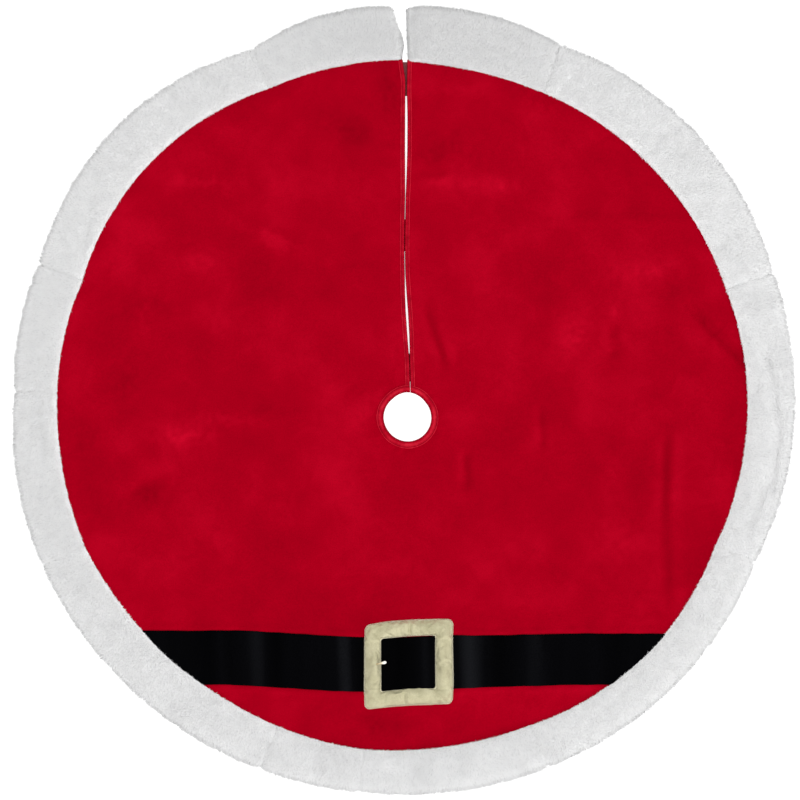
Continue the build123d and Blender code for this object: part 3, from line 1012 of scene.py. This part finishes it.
def plush_border():
    """Each length of the border: a soft body and the pile on it."""
    for number, name in enumerate(FUR_NODES):
        start, end = fur_segment(name)[0]
        columns = max(24, int((end - start) * BORDER_R / (5 * MM)))
        skin = fur_skin(name, columns, FUR_AROUND)
        normals = grid_normals(skin)
        body = mesh_object(f"{name}_body", skin.reshape(-1, 3), tube_faces(columns, FUR_AROUND))
        # Painted shade on the body between the locks, on top of the fur's painted shade.
        give_nap_and_painted_light(body, BODY_SHADE * painted_fur_shade(skin.reshape(-1, 3)))
        where = FUR_BODY.get(name, "main")
        finish_piece(body, PLUSH, where, "white_plush", replaces=[name])
        for k, (layer, *look) in enumerate(PILE_LAYERS):
            verts, quads, tips, lit, shade = pile_tufts(skin, normals, 100 + 20 * k + number, *look)
            pile = mesh_object(f"{name}_pile_{layer}", verts, [quads, tips], closed=False)
            pile.data.normals_split_custom_set_from_vertices(lit)
            # Painted shade on the locks.
            give_nap_and_painted_light(pile, shade)
            finish_piece(pile, PLUSH, where, "white_plush")


# ---------------------------------------------------------------- bindings and stitches
def binding_section(width, height, rolled, middle):
    """A folded tape seen end on: rows of distance from the raw edge, height over the cloth's face, and painted
    light and shade.

    Its pressed edge gets a painted highlight, and its stitched groove and lower edges painted shade. rolled is the
    painted lightness where it rolls over the raw edge, and middle the painted lightness of its flat middle.
    """
    top, under = height, -4.0 * MM
    return np.array([
        (width, -0.6 * MM, 0.1),
        (width - 0.5 * MM, 0.60 * top, 0.75),
        (width - 1.3 * MM, 0.85 * top, 0.75),
        (width - 2.1 * MM, 0.50 * top, 0.1),
        (width - 3.0 * MM, 0.90 * top, 0.45),
        (0.45 * width, 1.05 * top, middle),
        (2.4 * MM, 1.05 * top, 0.5 * (rolled + middle)),
        (1.2 * MM, 0.90 * top, rolled),
        (0.3 * MM, 0.45 * top, 0.0),
        (0.0, -1.2 * MM, 0.0),
        (0.2 * MM, -2.8 * MM, 0.0),
        (1.2 * MM, under, 0.4),
        (0.5 * width, under, 0.4),
        (width - 0.4 * MM, under + 0.3 * MM, 0.4),
        (width - 0.2 * MM, -2.4 * MM, 0.2),
    ])


def sweep(name, path, inward, lift, section, floor):
    """A section carried along a path: path (n, 2), inward (n, 2), lift (n,) the height of the cloth there."""
    e, h = section[:, :2].T
    xy = path[:, None] + inward[:, None] * e[None, :, None]
    z = np.maximum(lift[:, None] + h[None], floor)
    verts = np.concatenate([xy, z[..., None]], axis=-1)
    return mesh_object(name, verts.reshape(-1, 3), tube_faces(*verts.shape[:2]))


def paint_binding_light(piece, section, rows):
    """Paints a binding's highlights and shade, the same in every one of its rows."""
    give_nap_and_painted_light(piece, np.tile(section[:, 2], rows))


def threads(start, end, radius):
    """A short thread from each start to each end: (verts, quads). Both its ends dip into the cloth."""
    sides, rings = 6, 5
    profile = [(-1.0, 0.35), (-0.35, 0.9), (0.15, 1.0), (-0.35, 0.9), (-1.0, 0.35)]
    along = unit(end - start)
    side = unit(np.cross(along, (0, 0, 1)))
    up = np.cross(side, along)
    verts = []
    for k, (sink, fat) in enumerate(profile):
        centre = start + (end - start) * k / (rings - 1) + up * radius * sink
        for m in range(sides):
            a = TAU * m / sides
            verts.append(centre + (side * math.cos(a) + up * math.sin(a)) * radius * fat)
    verts = np.stack(verts, axis=1)
    quads = grid_faces(rings, sides, wrap_columns=True)
    first = np.arange(len(start))[:, None, None] * rings * sides
    return verts.reshape(-1, 3), (first + quads[None]).reshape(-1, 4)


def points_at(at, steps, line):
    """Points along a line of 3-D points whose own places are steps."""
    return np.stack([np.interp(at, steps, line[:, i]) for i in range(3)], axis=1)


def stitch_row(line):
    """A row of stitches along a line of points."""
    steps = np.concatenate([[0], np.cumsum(np.linalg.norm(np.diff(line, axis=0), axis=1))])
    starts = (np.arange(int((steps[-1] - STITCH) / STITCH_PITCH)) + 0.5) * STITCH_PITCH
    return threads(points_at(starts, steps, line), points_at(starts + STITCH, steps, line), THREAD_R)


def stitch_piece(name, rows, material, where, slot):
    """One object of several rows of threads."""
    verts, quads, at = [], [], 0
    for v, q in rows:
        verts.append(v)
        quads.append(q + at)
        at += len(v)
    piece = mesh_object(name, np.concatenate(verts), [np.concatenate(quads)])
    return finish_piece(piece, material, where, slot)


NECK_TAPE_W = NECK_OUTER_R - HOLE_R
# How far the soft ring has been pulled out of round, outwards, by angle.
NECK_BEND_AT = np.radians([0, 40, 85, 95, 130, 180, 215, 270, 300, 340])
NECK_BEND = np.array([-1.0, -2.0, 0.2, 0.2, -1.7, -1.0, -1.1, 0.0, 0.0, -0.6]) * MM
SLIT_TAPE_W = 7.4 * MM
TAPE_RISE = 1.5 * MM  # the tape's face over the velvet
NECK_RISE = TAPE_RISE + 0.4 * MM
NECK_RIPPLES = 34
STITCH_INSET = 2.1 * MM  # from a tape's pressed edge to its groove
TAPE_FLOOR = 0.3 * MM  # how near the floor the neck's tape may hang
OVER_TABS = 0.7 * MM  # and the slit's, which lie over the closure tabs


def neck_span(where, radius):
    """Start and end angle of a stretch of the neck binding at one radius, counter-clockwise."""
    cut = {s: plan_angle(CREASES[s].at_radius(radius)) for s in CREASES}
    y = math.sqrt(radius**2 - (5 * MM) ** 2)
    slit = {s: plan_angle((slit_edge(s, y), y)) for s in CREASES}
    return {
        "main": (cut["left"], cut["right"] + TAU),
        "right": (cut["right"], slit["right"]),
        "left": (slit["left"], cut["left"]),
    }[where]


def neck_binding(where):
    """The tape round the trunk hole, with the small ripples that its inner curve forces on it."""
    # Painted shade where the tape rolls into the hole, and a painted highlight across its middle.
    section = binding_section(NECK_TAPE_W, NECK_RISE, rolled=0.05, middle=0.75)
    count = 220 if where == "main" else 80
    spans = np.array([neck_span(where, HOLE_R + max(e, MM / 10)) for e in section[:, 0]])
    t = np.linspace(0, 1, count)[:, None]
    angle = spans[None, :, 0] + (spans[None, :, 1] - spans[None, :, 0]) * t
    radius = HOLE_R + section[None, :, 0] + np.interp(angle, NECK_BEND_AT, NECK_BEND, period=TAU)
    x, y = radius * np.cos(angle), radius * np.sin(angle)
    ripple = 0.35 * MM * np.sin(NECK_RIPPLES * angle + 3 * noise(x, y, 0.02, 31))
    ripple = ripple + 0.2 * MM * noise(x, y, 0.006, 32)
    upper = section[None, :, 1] > 0.2 * MM
    z = VELVET_Z + VELVET_LIFT + section[None, :, 1] + ripple * upper
    if where == "left":
        from_slit = (angle - angle[:1]) * radius
        folds = np.abs(np.sin(from_slit / (2.6 * MM) * math.pi)) * np.exp(-from_slit / (6 * MM))
        z = z + 0.8 * MM * folds * upper
    verts = np.stack([x, y, np.maximum(z, TAPE_FLOOR)], axis=-1)
    faces = tube_faces(*verts.shape[:2])
    piece = mesh_object(f"neck_binding_{where}_tape", verts.reshape(-1, 3), faces)
    paint_binding_light(piece, section, count)
    finish_piece(piece, RED_BINDING, where, "red_satin_binding", replaces=[f"neck_binding_{where}"])
    stitch_r = NECK_OUTER_R - STITCH_INSET
    a = np.linspace(*neck_span(where, stitch_r), count)
    ring = polar(stitch_r + np.interp(a, NECK_BEND_AT, NECK_BEND, period=TAU), a, np.zeros(2))
    height = VELVET_Z + VELVET_LIFT + 0.66 * NECK_RISE + 0.105 * MM * np.sin(NECK_RIPPLES * a)
    row = stitch_row(np.column_stack([ring, height]))
    stitch_piece(f"neck_stitches_{where}", [row], RED_THREAD, where, "red_satin_binding")


def slit_binding(side):
    """The tape along one edge of the slit, with its two rows of stitches."""
    way = 1 if side == "right" else -1
    y = np.linspace(NECK_OUTER_R - 4 * MM, SLIT_END_Y + SEAM_LAP, 260)
    path = np.stack([slit_edge(side, y), y], axis=1)
    inward = np.tile([way, 0.0], (len(y), 1))
    lift = cloth_height(path[:, 0] + way * 6 * MM, y) + 0.15 * MM * noise(y, 0.0, 0.02, 41)
    # A painted highlight where the tape rolls over the slit's edge, and darker across its middle.
    section = binding_section(SLIT_TAPE_W, TAPE_RISE, rolled=0.65, middle=0.4)
    piece = sweep(f"slit_binding_{side}_tape", path, inward, lift, section, floor=OVER_TABS)
    paint_binding_light(piece, section, len(y))
    finish_piece(piece, RED_BINDING, side, "red_satin_binding", replaces=[f"slit_binding_{side}"])
    rows = []
    for e, h in ((SLIT_TAPE_W - STITCH_INSET, 0.70), (1.6 * MM, 1.0)):
        rows.append(stitch_row(np.column_stack([path + inward * e, lift + h * TAPE_RISE])))
    stitch_piece(f"slit_stitches_{side}", rows, RED_THREAD, side, "red_satin_binding")


# ---------------------------------------------------------------- belt
BELT_T = 1.1 * MM
# Bands across the belt where its pile lies the other way: x, half width in millimetres, how much lighter.
BELT_BANDS = [
    (-97, 12, 0.55),
    (95, 17, 0.65),
    (-230, 14, 0.2),
    (28, 12, 0.25),
    (-290, 10, 0.25),
    (190, 20, 0.2),
    (290, 12, 0.2),
]
BAND_SLANT = 0.04  # how far they lean to the left going up
BELT_HIGH = -336 * MM  # about where the belt's top edge is
BELT_MIDDLE = -380 * MM  # its middle line
BELT_WIDE = 85 * MM  # and about how wide it is
BELT_UPPER = 26  # points across the belt's face
BELT_LOWER = 12  # and across its underside


def belt():
    """The belt strap: soft pile, turned edges and a slow ripple along it. Its ends go under the border."""
    across = np.concatenate([np.linspace(0, 1, BELT_UPPER), [1.0], np.linspace(1, 0, BELT_LOWER), [0.0]])
    level = np.concatenate([np.ones(BELT_UPPER), [0.45], np.zeros(BELT_LOWER), [0.45]])
    level[[0, BELT_UPPER - 1]] = 0.8
    columns = 300
    t = np.linspace(0, 1, columns)[:, None]
    y_rough = BELT_HIGH - BELT_WIDE * across[None]
    reach = velvet_radius(np.arctan2(y_rough - CENTRE[1], 0.38)) + 10 * MM
    half = np.sqrt(reach**2 - (y_rough - CENTRE[1]) ** 2)
    x = CENTRE[0] - half + 2 * half * t
    y = belt_top(x) + (belt_bottom(x) - belt_top(x)) * across[None]
    y = y + 0.5 * MM * noise(x, across[None] // 1, 0.02, 51)
    ripple = 0.7 * MM * noise(x, 0.12 * y, 0.035, 52)
    edge_round = 1 - 0.25 * smooth((np.abs(2 * across[None] - 1) - 0.93) / 0.07)
    z = cloth_height(x, y) - 0.2 * MM + (BELT_T * edge_round + ripple + 0.7 * MM) * level[None]
    verts = np.stack([x, y, z], axis=-1).reshape(-1, 3)
    piece = mesh_object("belt_strap_cloth", verts, tube_faces(columns, len(across)))
    lie = 0.35 + 0.15 * noise(x, 0.0, 0.03, 53)
    for at, width, shade in BELT_BANDS:
        off = x + BAND_SLANT * (y - BELT_MIDDLE) - at * MM
        lie = lie + shade * np.exp(-((off / (width * MM)) ** 2))
    give_nap_and_painted_light(piece, np.clip(lie, 0, 1))
    length, width = float(np.ptp(verts[:, 0])), float(belt_top(0.0) - belt_bottom(0.0))
    finish_piece(piece, BLACK, "main", "black_velvet", replaces=["belt_strap"])


# ---------------------------------------------------------------- buckle
BUCKLE_HALF = (68.8 * MM, 66.3 * MM)
WINDOW_HALF = (42.6 * MM, 41.2 * MM)
WINDOW_SHIFT = -0.9 * MM
BUCKLE_RISE = math.tan(math.radians(3.6))  # its top and bottom run uphill to the right
BUCKLE_BOW = 3.0 * MM  # and are bowed upwards
BUCKLE_OVER = 17  # points over the padding, from its outer to its inner edge
BUCKLE_UNDER = 5  # and back under it
GATHER_GAIN = 1.25
PUFF_FRAMES = 24
# Gathers of the cover: from, to, half width, height, all in millimetres.
BUCKLE_FOLDS = [
    ((-14, -316), (-10, -342), 2.6, -1.3),
    ((-4, -315), (-2, -341), 2.2, 1.0),
    ((3, -314), (4, -340), 1.8, -1.5),
    ((10, -314), (8, -340), 2.2, 0.8),
    ((18, -313), (20, -339), 2.0, -0.9),
    ((-4, -450), (-6, -424), 2.2, -1.4),
    ((2, -450), (1, -424), 2.2, 0.8),
    ((-38, -452), (-34, -427), 2.6, -0.9),
    ((40, -424), (64, -447), 2.4, -1.5),
    ((45, -421), (68, -440), 2.4, 0.8),
    ((-70, -388), (-52, -386), 2.6, -1.6),
    ((-68, -352), (-44, -350), 3.0, -0.6),
    ((-66, -324), (-42, -344), 2.6, -0.7),
    ((60, -330), (44, -343), 2.4, -0.7),
]
TONGUE_BASE = np.array([-52.5, -384.6, 13.0]) * MM
TONGUE_TIP = np.array([-32.6, -380.4, 14.6]) * MM


def rounded_frame(half, corner, per_side, per_corner):
    """Points round a rectangle with rounded corners, counter-clockwise from its right side's foot."""
    hx, hy = half
    points = []
    for k in range(4):
        turn = k * math.pi / 2
        a, b = (hx, hy) if k % 2 == 0 else (hy, hx)
        for t in np.arange(per_side) / per_side:
            points.append((a, (b - corner) * (2 * t - 1), turn))
        for t in np.arange(per_corner) / per_corner:
            at = t * math.pi / 2
            points.append((a - corner + corner * math.cos(at), b - corner + corner * math.sin(at), turn))
    p = np.array(points)
    c, s = np.cos(p[:, 2]), np.sin(p[:, 2])
    return np.stack([p[:, 0] * c - p[:, 1] * s, p[:, 0] * s + p[:, 1] * c], axis=1)


def under_buckle(x, y):
    """Height of what the buckle is sewn to: the velvet, and the belt where it crosses."""
    inside = smooth((belt_top(x) - y) / (4 * MM)) * smooth((y - belt_bottom(x)) / (4 * MM))
    return cloth_height(x, y) + inside * (BELT_T + 0.4 * MM)


def buckle_ring(share, crown):
    """The padded frame: a loop round the window whose section is a low dome on a flat base.

    share draws both edges in towards the middle of the band. The points are (around, section, 3).
    """
    outer = rounded_frame(BUCKLE_HALF, 9 * MM, 48, 7)
    inner = rounded_frame(WINDOW_HALF, 4 * MM, 48, 7)
    rough = noise(outer[:, 0], outer[:, 1], 0.03, 61)[:, None]
    outer = outer * (1 + 0.012 * rough)
    rough = noise(inner[:, 0], inner[:, 1], 0.025, 62)[:, None]
    inner = inner * (1 + 0.012 * rough) + (WINDOW_SHIFT, 0)
    middle = (outer + inner) / 2
    outer, inner = middle + (outer - middle) * share, middle + (inner - middle) * share
    v = np.concatenate([np.linspace(0, 1, BUCKLE_OVER), np.linspace(1, 0, BUCKLE_UNDER + 2)[1:-1]])
    arch = np.sin(np.linspace(0, math.pi, BUCKLE_OVER)) ** 0.55
    dome = np.concatenate([arch, np.full(BUCKLE_UNDER, -0.12)])
    flat = outer[:, None] + (inner - outer)[:, None] * v[None, :, None]
    bow = BUCKLE_BOW * (0.5 - (flat[..., 0] / BUCKLE_HALF[0]) ** 2)
    x = BUCKLE_CENTRE[0] + flat[..., 0]
    y = BUCKLE_CENTRE[1] + flat[..., 1] + BUCKLE_RISE * flat[..., 0] + bow
    z = under_buckle(x, y) + crown * dome[None]
    return np.stack([x, y, z], axis=-1)


def puff_up(piece, pinned, most):
    """Blows a sewn cover up with the cloth solver. Pinned points stay, and none moves further than most."""
    start = mesh_points(piece.data).astype(float)
    group = piece.vertex_groups.new(name="sewn")
    group.add([int(i) for i in pinned], 1.0, "REPLACE")
    cloth = piece.modifiers.new("cloth", "CLOTH")
    settings = cloth.settings
    settings.vertex_group_mass = "sewn"
    settings.quality = 8
    settings.mass = 0.2
    settings.tension_stiffness = 25
    settings.compression_stiffness = 25
    settings.shear_stiffness = 8
    settings.bending_stiffness = 0.02
    settings.air_damping = 2
    settings.shrink_min = -0.06
    settings.use_pressure = True
    settings.uniform_pressure_force = 12
    settings.effector_weights.gravity = 0
    cloth.collision_settings.use_collision = False
    scene = bpy.context.scene
    scene.frame_start, scene.frame_end = 1, PUFF_FRAMES
    cloth.point_cache.frame_start, cloth.point_cache.frame_end = 1, PUFF_FRAMES
    for at in range(1, PUFF_FRAMES + 1):
        scene.frame_set(at)
    done = piece.evaluated_get(bpy.context.evaluated_depsgraph_get()).to_mesh()
    move = mesh_points(done).astype(float) - start
    piece.modifiers.clear()
    piece.vertex_groups.clear()
    scene.frame_set(1)
    far = np.maximum(np.linalg.norm(move, axis=1, keepdims=True), 1e-9)
    move *= np.minimum(1, most / far)
    move[:, 2] = np.maximum(move[:, 2], -0.9 * MM)
    set_points(piece, start + move)


def subdivide(piece):
    """One smooth subdivision, applied, with the places of the new points kept for the patterns."""
    piece.modifiers.new("smooth", "SUBSURF").levels = 1
    mesh = bpy.data.meshes.new_from_object(piece.evaluated_get(bpy.context.evaluated_depsgraph_get()))
    piece.modifiers.clear()
    mesh.name = piece.data.name
    piece.data = mesh
    keep_rest_places(mesh)


def fold_cover(piece):
    """The cover's gathers and creases, added to its upper face."""
    co = mesh_points(piece.data).astype(float)
    x, y = co[:, 0], co[:, 1]
    above = co[:, 2] - under_buckle(x, y)
    for fold in BUCKLE_FOLDS:
        co[:, 2] += GATHER_GAIN * ridge(x, y, *fold) * smooth(above / (3 * MM))
    crinkle = 1 - np.abs(noise(x, y, 0.011, 63)) - np.abs(noise(x, y, 0.006, 64))
    co[:, 2] += 0.35 * MM * crinkle * smooth(above / (3 * MM))
    set_points(piece, co)


def edge_stitches(points, edge, way, count):
    """Zigzag threads round one edge of the cover, whose section runs inwards by way."""
    line, beside = [np.concatenate([points[:, at], points[:1, at]]) for at in (edge, edge + 2 * way)]
    at = np.linspace(0, len(line) - 1, count, endpoint=False)
    steps = np.arange(len(line))
    place = points_at(at, steps, line)
    out = (place - points_at(at, steps, beside)) * (1, 1, 0)
    out /= np.linalg.norm(out, axis=1, keepdims=True)
    start = place + out * 0.9 * MM + np.array([0, 0, 0.2 * MM])
    zigzag = 1.7 + 0.35 * (np.arange(count) % 2)[:, None]
    end = place - out * zigzag * MM + np.array([0, 0, 1.9 * MM])
    return threads(start, end, 0.34 * MM)


def buckle():
    """The lame cover with its padding, and the zigzag thread that holds both its edges down."""
    points = buckle_ring(1.0, 6.3 * MM)
    around, section = points.shape[:2]
    faces = grid_faces(around, section, wrap_rows=True, wrap_columns=True)
    cover = mesh_object("buckle_cover_lame", points.reshape(-1, 3), [faces])
    sewn = np.ones((around, section), bool)
    sewn[:, 1 : BUCKLE_OVER - 1] = False
    puff_up(cover, np.flatnonzero(sewn.ravel()), 4 * MM)
    subdivide(cover)
    fold_cover(cover)
    finish_piece(cover, LAME, "main", "gold_lame", replaces=["buckle_cover"])
    foam = mesh_object("buckle_padding_foam", buckle_ring(0.7, 2.4 * MM).reshape(-1, 3), [faces])
    finish_piece(foam, FOAM, "main", "white_foam", replaces=["buckle_padding"])
    edges = (0, 1, 520), (BUCKLE_OVER - 1, -1, 330)
    rows = [edge_stitches(points, *edge) for edge in edges]
    stitch_piece("buckle_edge_stitches", rows, GOLD_THREAD, "main", "gold_lame")


def tongue():
    """The buckle's small sewn tongue: wound with thread, thin where it starts and rounded at its tip."""
    rings, sides = 64, 20
    t = np.linspace(0, 1, rings)
    axis = TONGUE_TIP - TONGUE_BASE
    along = unit(axis)
    side = unit(np.cross((0, 0, 1), along))
    up = np.cross(along, side)
    radius = (0.9 + 1.35 * smooth((t - 0.3) / 0.55)) * MM
    cap = np.sqrt(np.clip(1 - np.clip((t - 0.86) / 0.14, 0, 1) ** 2, 0.002, 1))
    cap = cap * np.sqrt(np.clip(t / 0.05, 0.01, 1))
    radius = radius * cap * (1 + 0.05 * np.cos(TAU * 21 * t))
    a = np.linspace(0, TAU, sides, endpoint=False)[None, :, None]
    centre = TONGUE_BASE + axis * t[:, None]
    centre[:, 2] += 0.8 * MM * np.sin(math.pi * t)
    ring = (np.cos(a) * side + 0.55 * np.sin(a) * up) * radius[:, None, None]
    verts = centre[:, None] + ring
    piece = mesh_object("buckle_tongue_satin", verts.reshape(-1, 3), tube_faces(rings, sides))
    # Painted highlight: the share along the tongue, which its material turns nearly white towards the tip.
    give_nap_and_painted_light(piece, np.repeat(t, sides))
    finish_piece(piece, PRONG, "main", "gold_lame", replaces=["buckle_tongue"])


# ---------------------------------------------------------------- closures
def tape_section(width, thick):
    """A flat tape seen end on, with rounded edges."""
    half = width / 2
    e = np.linspace(-half + 0.3 * MM, half - 0.3 * MM, 12)
    top = [(k, thick) for k in e]
    bottom = [(k, 0.0) for k in e[::-1]]
    return np.array([(-half, thick / 2), *top, (half, thick / 2), *bottom])


TAPE_STEPS = 40
TAPE_T = 0.55 * MM
ON_FLOOR = 0.05 * MM  # the underside of what lies on the floor
# Tiny loops and hooks: way up or down, height over the tape's underside, pitch, length, width and bend.
LOOP_NAP = (1, 0.4 * MM, 0.7 * MM, 0.45 * MM, 0.16 * MM, 0.7)
HOOK_NAP = (-1, 0.1 * MM, 1.1 * MM, 0.4 * MM, 0.15 * MM, 0.4)


def tape(name, node, box, look, lift=None):
    """A strip of tape along x in a box. Its underside is level, or lift gives its height for each x."""
    low, high = box
    x = np.linspace(low.x, high.x, TAPE_STEPS)
    path = np.stack([x, np.full(TAPE_STEPS, (low.y + high.y) / 2)], axis=1)
    inward = np.tile([0.0, 1.0], (TAPE_STEPS, 1))
    height = lift(x) if lift else np.full(TAPE_STEPS, low.z)
    piece = sweep(name, path, inward, height, tape_section(high.y - low.y, TAPE_T), floor=ON_FLOOR)
    finish_piece(piece, *look, replaces=[node])


def nap_field(name, box, kind, look, seed):
    """A field of tiny hooks or loops on a tape, standing up from it or hanging down from it."""
    low, high = box
    way, height, pitch, length, width, bend = kind
    rng = np.random.default_rng(seed)
    grid = [np.arange(a + pitch, b - pitch / 2, pitch) for a, b in ((low.x, high.x), (low.y, high.y))]
    x, y = [g.ravel() for g in np.meshgrid(*grid)]
    level = (1, 1, 0)
    root = np.stack([x, y, np.full(x.size, low.z + height)], axis=1)
    root = root + rng.normal(0, 0.12 * pitch, (x.size, 3)) * level
    direction = unit((0.0, 0.0, float(way)) + rng.normal(0, bend / 2, (x.size, 3)) * level)
    turn = rng.uniform(0, TAU, (x.size, 1)) if bend > 0.5 else np.where(y[:, None] // pitch % 2, 0, math.pi)
    lean = np.concatenate([np.cos(turn), np.sin(turn), np.zeros_like(turn)], axis=1) * bend
    verts, quads, tips = spikes(root, direction, lean, length, width, rng)
    finish_piece(mesh_object(name, verts, [quads, tips], closed=False), *look)


def tab_rise(slit_x, top):
    """A tab's underside: on the floor under the slit, and up to the left flap where it is sewn."""
    return lambda x: ON_FLOOR + (top - ON_FLOOR) * smooth((slit_x - 10 * MM - x) / (8 * MM))


def closures():
    """Three tabs under the slit: each is sewn under the left flap and grips the right with hook and loop."""
    webbing = (WEBBING, "left", "maroon_webbing")
    loops = (LOOPS, "left", "red_loop_tape")
    hooks = (HOOKS, "right", "red_hook_tape")
    for k, where in enumerate(CLOSURE_NAMES):
        low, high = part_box(f"closure_tab_{where}")
        if where == "rim":
            high.y += 5 * MM
        rise = tab_rise(slit_middle((low.y + high.y) / 2), high.z - 0.6 * MM)
        tape(f"closure_tab_{where}_webbing", f"closure_tab_{where}", (low, high), webbing, rise)
        for kind, look, part, field, seed in (
            ("loop", loops, "nap", LOOP_NAP, 70 + k),
            ("hook", hooks, "hooks", HOOK_NAP, 80 + k),
        ):
            node = f"{kind}_tape_{where}"
            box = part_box(node)
            tape(f"{node}_strip", node, box, look)
            nap_field(f"{node}_{part}", box, field, look, seed)


# ---------------------------------------------------------------- stage
def stage():
    """A bright paper floor, a white sky and one broad lamp."""
    bpy.ops.mesh.primitive_plane_add(size=12, location=(0, 0, -0.2 * MM))
    floor = bpy.context.object
    floor.name = "floor"
    n = Nodes("floor_paper")
    n.set(Roughness=0.9, Specular_IOR_Level=0.1)
    n.shader.inputs["Base Color"].default_value = (0.6, 0.6, 0.6, 1)
    n.shader.inputs["Emission Color"].default_value = (1, 1, 1, 1)
    n.shader.inputs["Emission Strength"].default_value = 0.75
    floor.data.materials.append(n.material)
    world = bpy.data.worlds.new("studio")
    bpy.context.scene.world = world
    world.use_nodes = True
    background = world.node_tree.nodes["Background"]
    background.inputs["Color"].default_value = (1, 1, 1, 1)
    background.inputs["Strength"].default_value = 1.12
    far_lamp("key", (0.8, -1.0, 1.1), 0.9)


def far_lamp(name, place, power):
    """A broad, soft lamp so far off that it lights the whole skirt alike, from the side of place."""
    light = bpy.data.lights.new(name, "SUN")
    light.angle = math.radians(30)
    light.energy = power
    lamp = bpy.data.objects.new(name, light)
    bpy.context.scene.collection.objects.link(lamp)
    x, y, z = place
    lamp.location = (3 * x, 3 * y, 3 * z)
    lamp.rotation_euler = (math.atan2(math.hypot(x, y), z), 0, math.atan2(y, x) + math.pi / 2)


VIEW_WIDTH = 1.2424  # what the picture's width covers, at the height of the border
VIEW_CENTRE = (-0.0116, 0.0264)
LENS = 100.0


def camera():
    """A long lens straight above."""
    data = bpy.data.cameras.new("camera")
    data.lens = LENS
    data.sensor_width = 36.0
    data.clip_end = 50
    eye = bpy.data.objects.new("camera", data)
    bpy.context.scene.collection.objects.link(eye)
    eye.location = (*VIEW_CENTRE, VIEW_WIDTH * LENS / data.sensor_width + 12 * MM)
    bpy.context.scene.camera = eye


bpy.context.scene.view_settings.view_transform = "Standard"
camera()
stage()
cloth_sheets()
plush_border()
for where in BODY_OF:
    neck_binding(where)
for side in CREASES:
    slit_binding(side)
belt()
buckle()
tongue()
closures()
